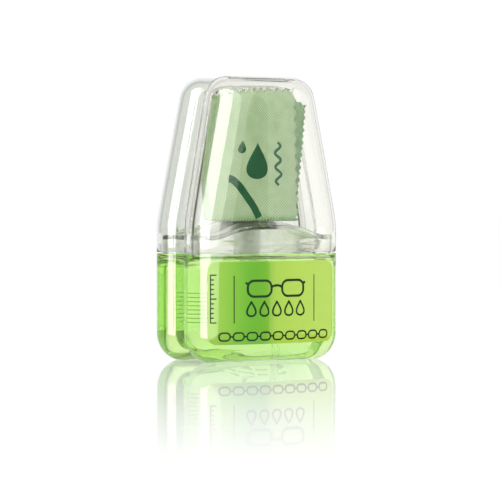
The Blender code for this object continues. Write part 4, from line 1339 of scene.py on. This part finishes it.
def make_floor():
    """White studio table: an even white with a polish that mirrors the object near its foot."""
    bpy.ops.mesh.primitive_plane_add(size=6.0, location=(0.0, 0.0, 0.0))
    floor = bpy.context.object
    floor.name = "studio_floor"
    mat, tree = new_material("floor_white")
    finished(mat, {"Base Color": (0.1, 0.1, 0.1, 1.0), "Roughness": 0.8, "Specular IOR Level": 0.0,
                   "Emission Color": (1.0, 1.0, 1.0, 1.0), "Emission Strength": TABLE_GLOW})
    mirror = add_node(tree, "BsdfGlossy", {"Roughness": 0.02, "Color": (1.0, 1.0, 1.0, 1.0)})
    length = add_node(tree, "VectorMath", {0: add_node(tree, "NewGeometry")["Position"]},
                      operation="LENGTH")
    fade = map_range(tree, length["Value"], (0.0, MIRROR_REACH), (MIRROR_STRENGTH, 0.0))
    share = calculate(tree, "MULTIPLY", fade, add_node(tree, "LightPath")["Is Camera Ray"])
    matt = tree.nodes["Principled BSDF"].outputs["BSDF"]
    mix = add_node(tree, "MixShader", {"Fac": share, 1: matt, 2: mirror["BSDF"]})
    set_sockets(tree, tree.nodes["Material Output"], {"Surface": mix["Shader"]})
    floor.data.materials.append(mat)
    floor.visible_glossy = False


def make_camera():
    data = bpy.data.cameras.new("camera")
    data.sensor_width = 36.0
    data.lens = CAMERA_LENS
    camera = bpy.data.objects.new("camera", data)
    bpy.context.collection.objects.link(camera)
    azimuth = math.radians(CAMERA_AZIMUTH)
    camera.location = (CAMERA_DISTANCE * math.sin(azimuth), -CAMERA_DISTANCE * math.cos(azimuth),
                       CAMERA_HEIGHT)
    aside = AIM_ASIDE / CAMERA_DISTANCE
    camera.rotation_euler = (math.pi / 2.0 - math.radians(CAMERA_PITCH), 0.0, azimuth - aside)
    bpy.context.scene.camera = camera


def soft_box(name, azimuth, elevation, width, tall, radiance, diffuse=False):
    """A rectangular soft light that faces the object: for its gloss, or for its matt parts."""
    data = bpy.data.lights.new(name, "AREA")
    data.shape = "RECTANGLE"
    data.size = width
    data.size_y = tall
    data.energy = radiance * width * tall * math.pi
    light = bpy.data.objects.new(name, data)
    bpy.context.collection.objects.link(light)
    turn = math.radians(azimuth)
    lift = math.radians(elevation)
    flat = LIGHT_DISTANCE * math.cos(lift)
    middle = Vector((0.0, 0.0, 0.5 * HEIGHT * MM))
    place = middle + Vector((flat * math.sin(turn), -flat * math.cos(turn),
                             LIGHT_DISTANCE * math.sin(lift)))
    light.location = place
    light.rotation_euler = (middle - place).to_track_quat("-Z", "Y").to_euler()
    light.visible_camera = False
    light.visible_diffuse = diffuse
    light.visible_transmission = diffuse
    light.visible_glossy = not diffuse


def make_world():
    """A light tent: white behind the object and softer towards the camera's side."""
    world = bpy.data.worlds.new("studio")
    bpy.context.scene.world = world
    world.use_nodes = True
    tree = world.node_tree
    way = add_node(tree, "TexCoord")["Generated"]
    azimuth = math.radians(CAMERA_AZIMUTH)
    backward = (-math.sin(azimuth), math.cos(azimuth), 0.0)
    toward = add_node(tree, "VectorMath", {0: way, 1: backward}, operation="DOT_PRODUCT")["Value"]
    tones = [(0.5 + 0.5 * back, (level, level, level)) for back, level in TENT_TONES]
    tent = colour_ramp(tree, map_range(tree, toward, (-1.0, 1.0)), tones, "EASE")
    slope = add_node(tree, "SeparateXYZ", {"Vector": way})["Z"]
    colour = add_node(tree, "Mix", {
        "A": tent, "B": (TABLE_GLOW, TABLE_GLOW, TABLE_GLOW, 1.0),
        "Factor": map_range(tree, slope, TABLE_BELOW)}, data_type="RGBA")["Result"]
    set_sockets(tree, tree.nodes["Background"], {"Color": colour, "Strength": TENT_STRENGTH})


def show(obj, body, slot_name, *nodes):
    """Let a piece ride on a body, in place of these CAD nodes. Its slot_name is not used."""
    if nodes:
        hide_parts(*nodes)
    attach(obj, body)
    return obj


def main():
    make_camera()
    make_world()
    make_floor()
    for light in SOFT_BOXES:
        soft_box(*light)

    # Each clear plastic's second colour is painted shade for its rear lobe.
    clear = clear_plastic("bottle_clear", (0.985, 0.995, 0.965), (0.97, 0.985, 0.95), 0.015,
                          0.000006, haze=0.17)
    cap_clear = clear_plastic("cap_clear", (0.965, 0.965, 0.925), (0.84, 0.86, 0.82), 0.02, 0.00002)
    white = moulded("pump_white", (0.80, 0.81, 0.80), translucent=0.2)
    natural = milky_plastic("pump_natural", (0.96, 0.99, 0.95))
    rubber = moulded("gasket_rubber", (0.66, 0.70, 0.66), roughness=0.7, depth=0.00003)
    steel = drawn_steel("spring_steel")
    label_ink = ink_material("label_ink", (0.006, 0.022, 0.006), 0.5)
    cloth_ink = cloth_material("cloth_ink", (0.004, 0.075, 0.022), (0.010, 0.125, 0.040), 0.0)
    fibre = cloth_material("microfibre", (0.24, 0.40, 0.18), (0.57, 0.70, 0.46), 0.1, front_only=False)

    show(make_bottle(clear), "bottle", "clear_plastic", "bottle")
    show(make_fluid(fluid_material()), "bottle", "green_fluid", "cleaning_fluid")
    show(make_cap(cap_clear), "cap", "clear_plastic", "over_cap")
    front_film = film_material("front_film", FRONT_LABEL["half_width"])
    rear_film = clear_film("rear_film")
    show(make_label("front_film", FRONT_LABEL, -1.0, front_film), "bottle", "lime_film", "front_label")
    show(make_label("rear_film", REAR_LABEL, 1.0, rear_film), "bottle", "lime_film", "rear_label")
    show(print_front_label(label_ink), "bottle", "lime_film")
    rear_ink = ink_material("rear_ink", (0.62, 0.90, 0.50), 0.35, see_through=0.85)
    show(print_rear_label(rear_ink), "bottle", "lime_film")

    cloth = show(make_cloth(fibre), "cap", "microfibre", "cleaning_cloth")
    printed = show(print_cloth(cloth_ink), "cap", "microfibre")

    show(make_collar(white), "collar", "white_plastic", "closure_collar")
    show(make_button(white), "actuator", "white_plastic", "actuator_button")
    show(make_insert(natural), "actuator", "white_plastic", "orifice_insert")
    show(make_tube(tube_plastic("dip_tube")), "pump", "natural_plastic", "dip_tube")
    return_spring = make_spring("return_spring_wire", RETURN_SPRING, *RETURN_SPRING_Z, steel)
    show(return_spring, "pump", "spring_steel", "return_spring")
    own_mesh(return_spring)
    other_spring = make_spring("precompression_spring_wire", PRECOMPRESSION_SPRING,
                               *PRECOMPRESSION_SPRING_Z, steel)
    show(other_spring, "actuator", "spring_steel", "precompression_spring")
    finishes = {"pump_housing": natural, "housing_retainer": white, "pump_stem": white,
                "piston": natural, "stem_plug": natural, "neck_gasket": rubber, "check_ball": steel}
    for name, mat in finishes.items():
        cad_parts[name].material_slots[0].material = mat

    scene = bpy.context.scene
    scene.view_settings.view_transform = "Standard"
    scene.cycles.max_bounces = 24
    scene.cycles.transmission_bounces = 24
    scene.cycles.glossy_bounces = 8
    scene.cycles.transparent_max_bounces = 16


main()
